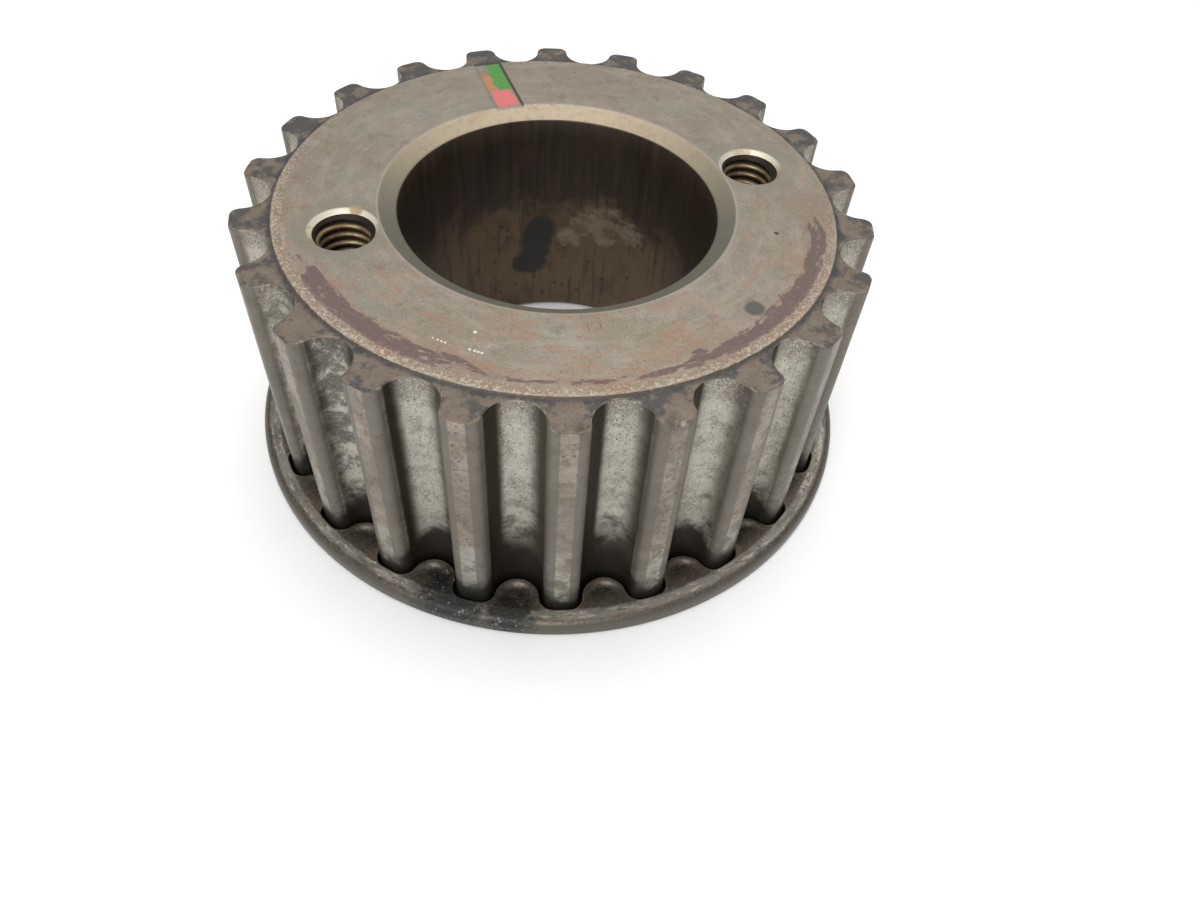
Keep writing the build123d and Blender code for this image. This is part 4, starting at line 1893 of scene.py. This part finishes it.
@dataclass(frozen=True)
class Studio:
    """A pale floor, soft light from all round, and the camera."""

    camera_place: tuple[float, float, float] = (-26.16, -76.25, 82.86)
    heading: float = 23.65
    tilt: float = 49.40
    roll: float = 5.29
    lens: float = 27.13
    sensor: float = 36.0
    nearest: float = 0.005
    floor_radius: float = 1500.0
    wall_height: float = 120.0
    sky_strength: float = 0.47
    lamps: tuple[Lamp, ...] = (
        Lamp("key_light", (-0.25, -0.35, 0.55), size=0.45, power=2.6),
        Lamp("top_light", (0.1, 0.15, 0.6), size=0.5, power=2.0),
    )
    paper: Colour = seen(246, 246, 246)
    pale_paper: Colour = seen(250, 250, 250)

    def floor(self) -> None:
        """A round floor with its edge turned up into a low wall: radius and height on a grid."""
        radius = np.concatenate([[0.001], np.linspace(60, self.floor_radius, 24)])
        angle = np.linspace(0, TURN, 96, endpoint=False)
        height = self.wall_height * ease(radius, self.floor_radius * 0.6, self.floor_radius)
        grid = np.stack([
            radius[:, None] * np.cos(angle),
            radius[:, None] * np.sin(angle),
            np.broadcast_to(height[:, None], (len(radius), len(angle))),
        ], -1)
        shell = Shell(("height",))
        shell.weave(shell.place(grid, height=height[:, None]), 0)
        paper = bpy.data.materials.new("studio_paper")
        paper.use_nodes = True
        wiring = Wiring(paper.node_tree)
        shader = paper.node_tree.nodes["Principled BSDF"]
        place = wiring.node("ShaderNodeTexCoord").outputs["Object"]
        tone = wiring.noise(place, 8.0, 3.0)
        wiring.feed(shader.inputs["Base Color"], wiring.mix(tone, self.paper, self.pale_paper))
        shader.inputs["Roughness"].default_value = 0.9
        shell.make("studio_floor", [paper])

    def camera(self) -> None:
        """The camera, turned by its heading from +Y, tilted down and rolled a little."""
        heading, tilt, roll = (math.radians(angle) for angle in (self.heading, self.tilt, self.roll))
        level = Vector((math.sin(heading), math.cos(heading), 0))
        ahead = math.cos(tilt) * level - math.sin(tilt) * Vector((0, 0, 1))
        right = Vector((math.cos(heading), -math.sin(heading), 0))
        up = right.cross(ahead)
        right, up = math.cos(roll) * right + math.sin(roll) * up, math.cos(roll) * up - math.sin(roll) * right
        data = bpy.data.cameras.new("camera")
        data.lens = self.lens
        data.sensor_width = self.sensor
        data.clip_start = self.nearest
        camera = bpy.data.objects.new("camera", data)
        turn = Matrix((right, up, -ahead)).transposed().to_4x4()
        camera.matrix_world = Matrix.Translation(Vector(self.camera_place) * MM) @ turn
        bpy.context.scene.collection.objects.link(camera)
        bpy.context.scene.camera = camera

    def build(self) -> None:
        """Sets up the floor, the sky, the lamps and the camera."""
        self.floor()
        scene = bpy.context.scene
        scene.view_settings.view_transform = "Standard"
        world = scene.world or bpy.data.worlds.new("studio_sky")
        scene.world = world
        world.use_nodes = True
        sky = world.node_tree.nodes["Background"]
        sky.inputs["Color"].default_value = (1.0, 1.0, 1.0, 1.0)
        sky.inputs["Strength"].default_value = self.sky_strength
        for lamp in self.lamps:
            lamp.build()
        self.camera()


# ---------------------------------------------------------------- the whole pulley
def mount_sizes() -> dict[str, dict[str, float]]:
    """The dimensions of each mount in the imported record, by the mount's name."""
    return {mount["name"]: mount["dims"] for mount in frame["record"]["mounts"]}


def main() -> None:
    """Builds and dresses the body and the flange, then the studio, and reports each piece."""
    logging.basicConfig(level=logging.INFO, format="%(name)s: %(message)s")
    mounts = mount_sizes()
    _, body_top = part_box("sprocket_body")
    _, flange_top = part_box("guide_flange")
    effects = Effects()
    tooth = ToothForm(tip_radius=body_top.y / MM)
    rim = body_top.z / MM - SprocketBody.face_rise
    knocks = (
        Dent(270.1, tooth.tip_radius, rim, (1.5, 1.1, 0.9), 0.7),
        Dent(255.9, tooth.tip_radius - 0.4, rim, (0.9, 0.9, 1.2), 0.7),
        Dent(51.4, tooth.tip_radius - 2.3, rim, (0.8, 0.8, 1.0), 0.5),
    )
    body = SprocketBody(
        tooth=tooth,
        front=body_top.z / MM,
        bore_radius=mounts["shaft_bore"]["r_mm"],
        hole_circle_radius=mounts["puller_holes"]["pcd_mm"] / 2,
        thread_minor_radius=mounts["puller_holes"]["hole_r_mm"],
        dents=knocks,
    )
    paint = TimingPaint(half_width=body.mark_width / 2, start=body.bore_radius)
    finishes = {
        BodyZone.FACE: FaceFinish(
            "machined_face",
            paint=paint,
            face_radius=body.face_radius,
            bore_radius=body.bore_radius,
            lead_radius=body.bore_radius + body.lead_width,
            hole_radius=body.hole_circle_radius,
            height=body.front,
        ),
        BodyZone.RIM: RimFinish("rim_skin", face_radius=body.face_radius),
        BodyZone.TEETH: TeethFinish("belt_teeth", flange_top=flange_top.z / MM),
        BodyZone.BORE: BoreFinish("oiled_bore", radius=body.bore_radius),
        BodyZone.THREAD: ThreadFinish("cut_thread"),
        BodyZone.BACK: BackFinish("back_face"),
    }
    pieces = [body.build([finishes[zone].material(effects) for zone in BodyZone])]
    flange = GuideFlange(tooth=tooth, radius=flange_top.x / MM, thickness=flange_top.z / MM)
    flange_finish = FlangeFinish(
        "dark_pressed_steel", radius=flange.radius, tip_radius=tooth.tip_radius, top=flange.thickness
    )
    pieces.append(flange.build([flange_finish.material(effects)]))
    for piece in pieces:
        log.info("%s has %d faces", piece.name, len(piece.data.polygons))
    Studio().build()


if __name__ == "__main__":
    main()
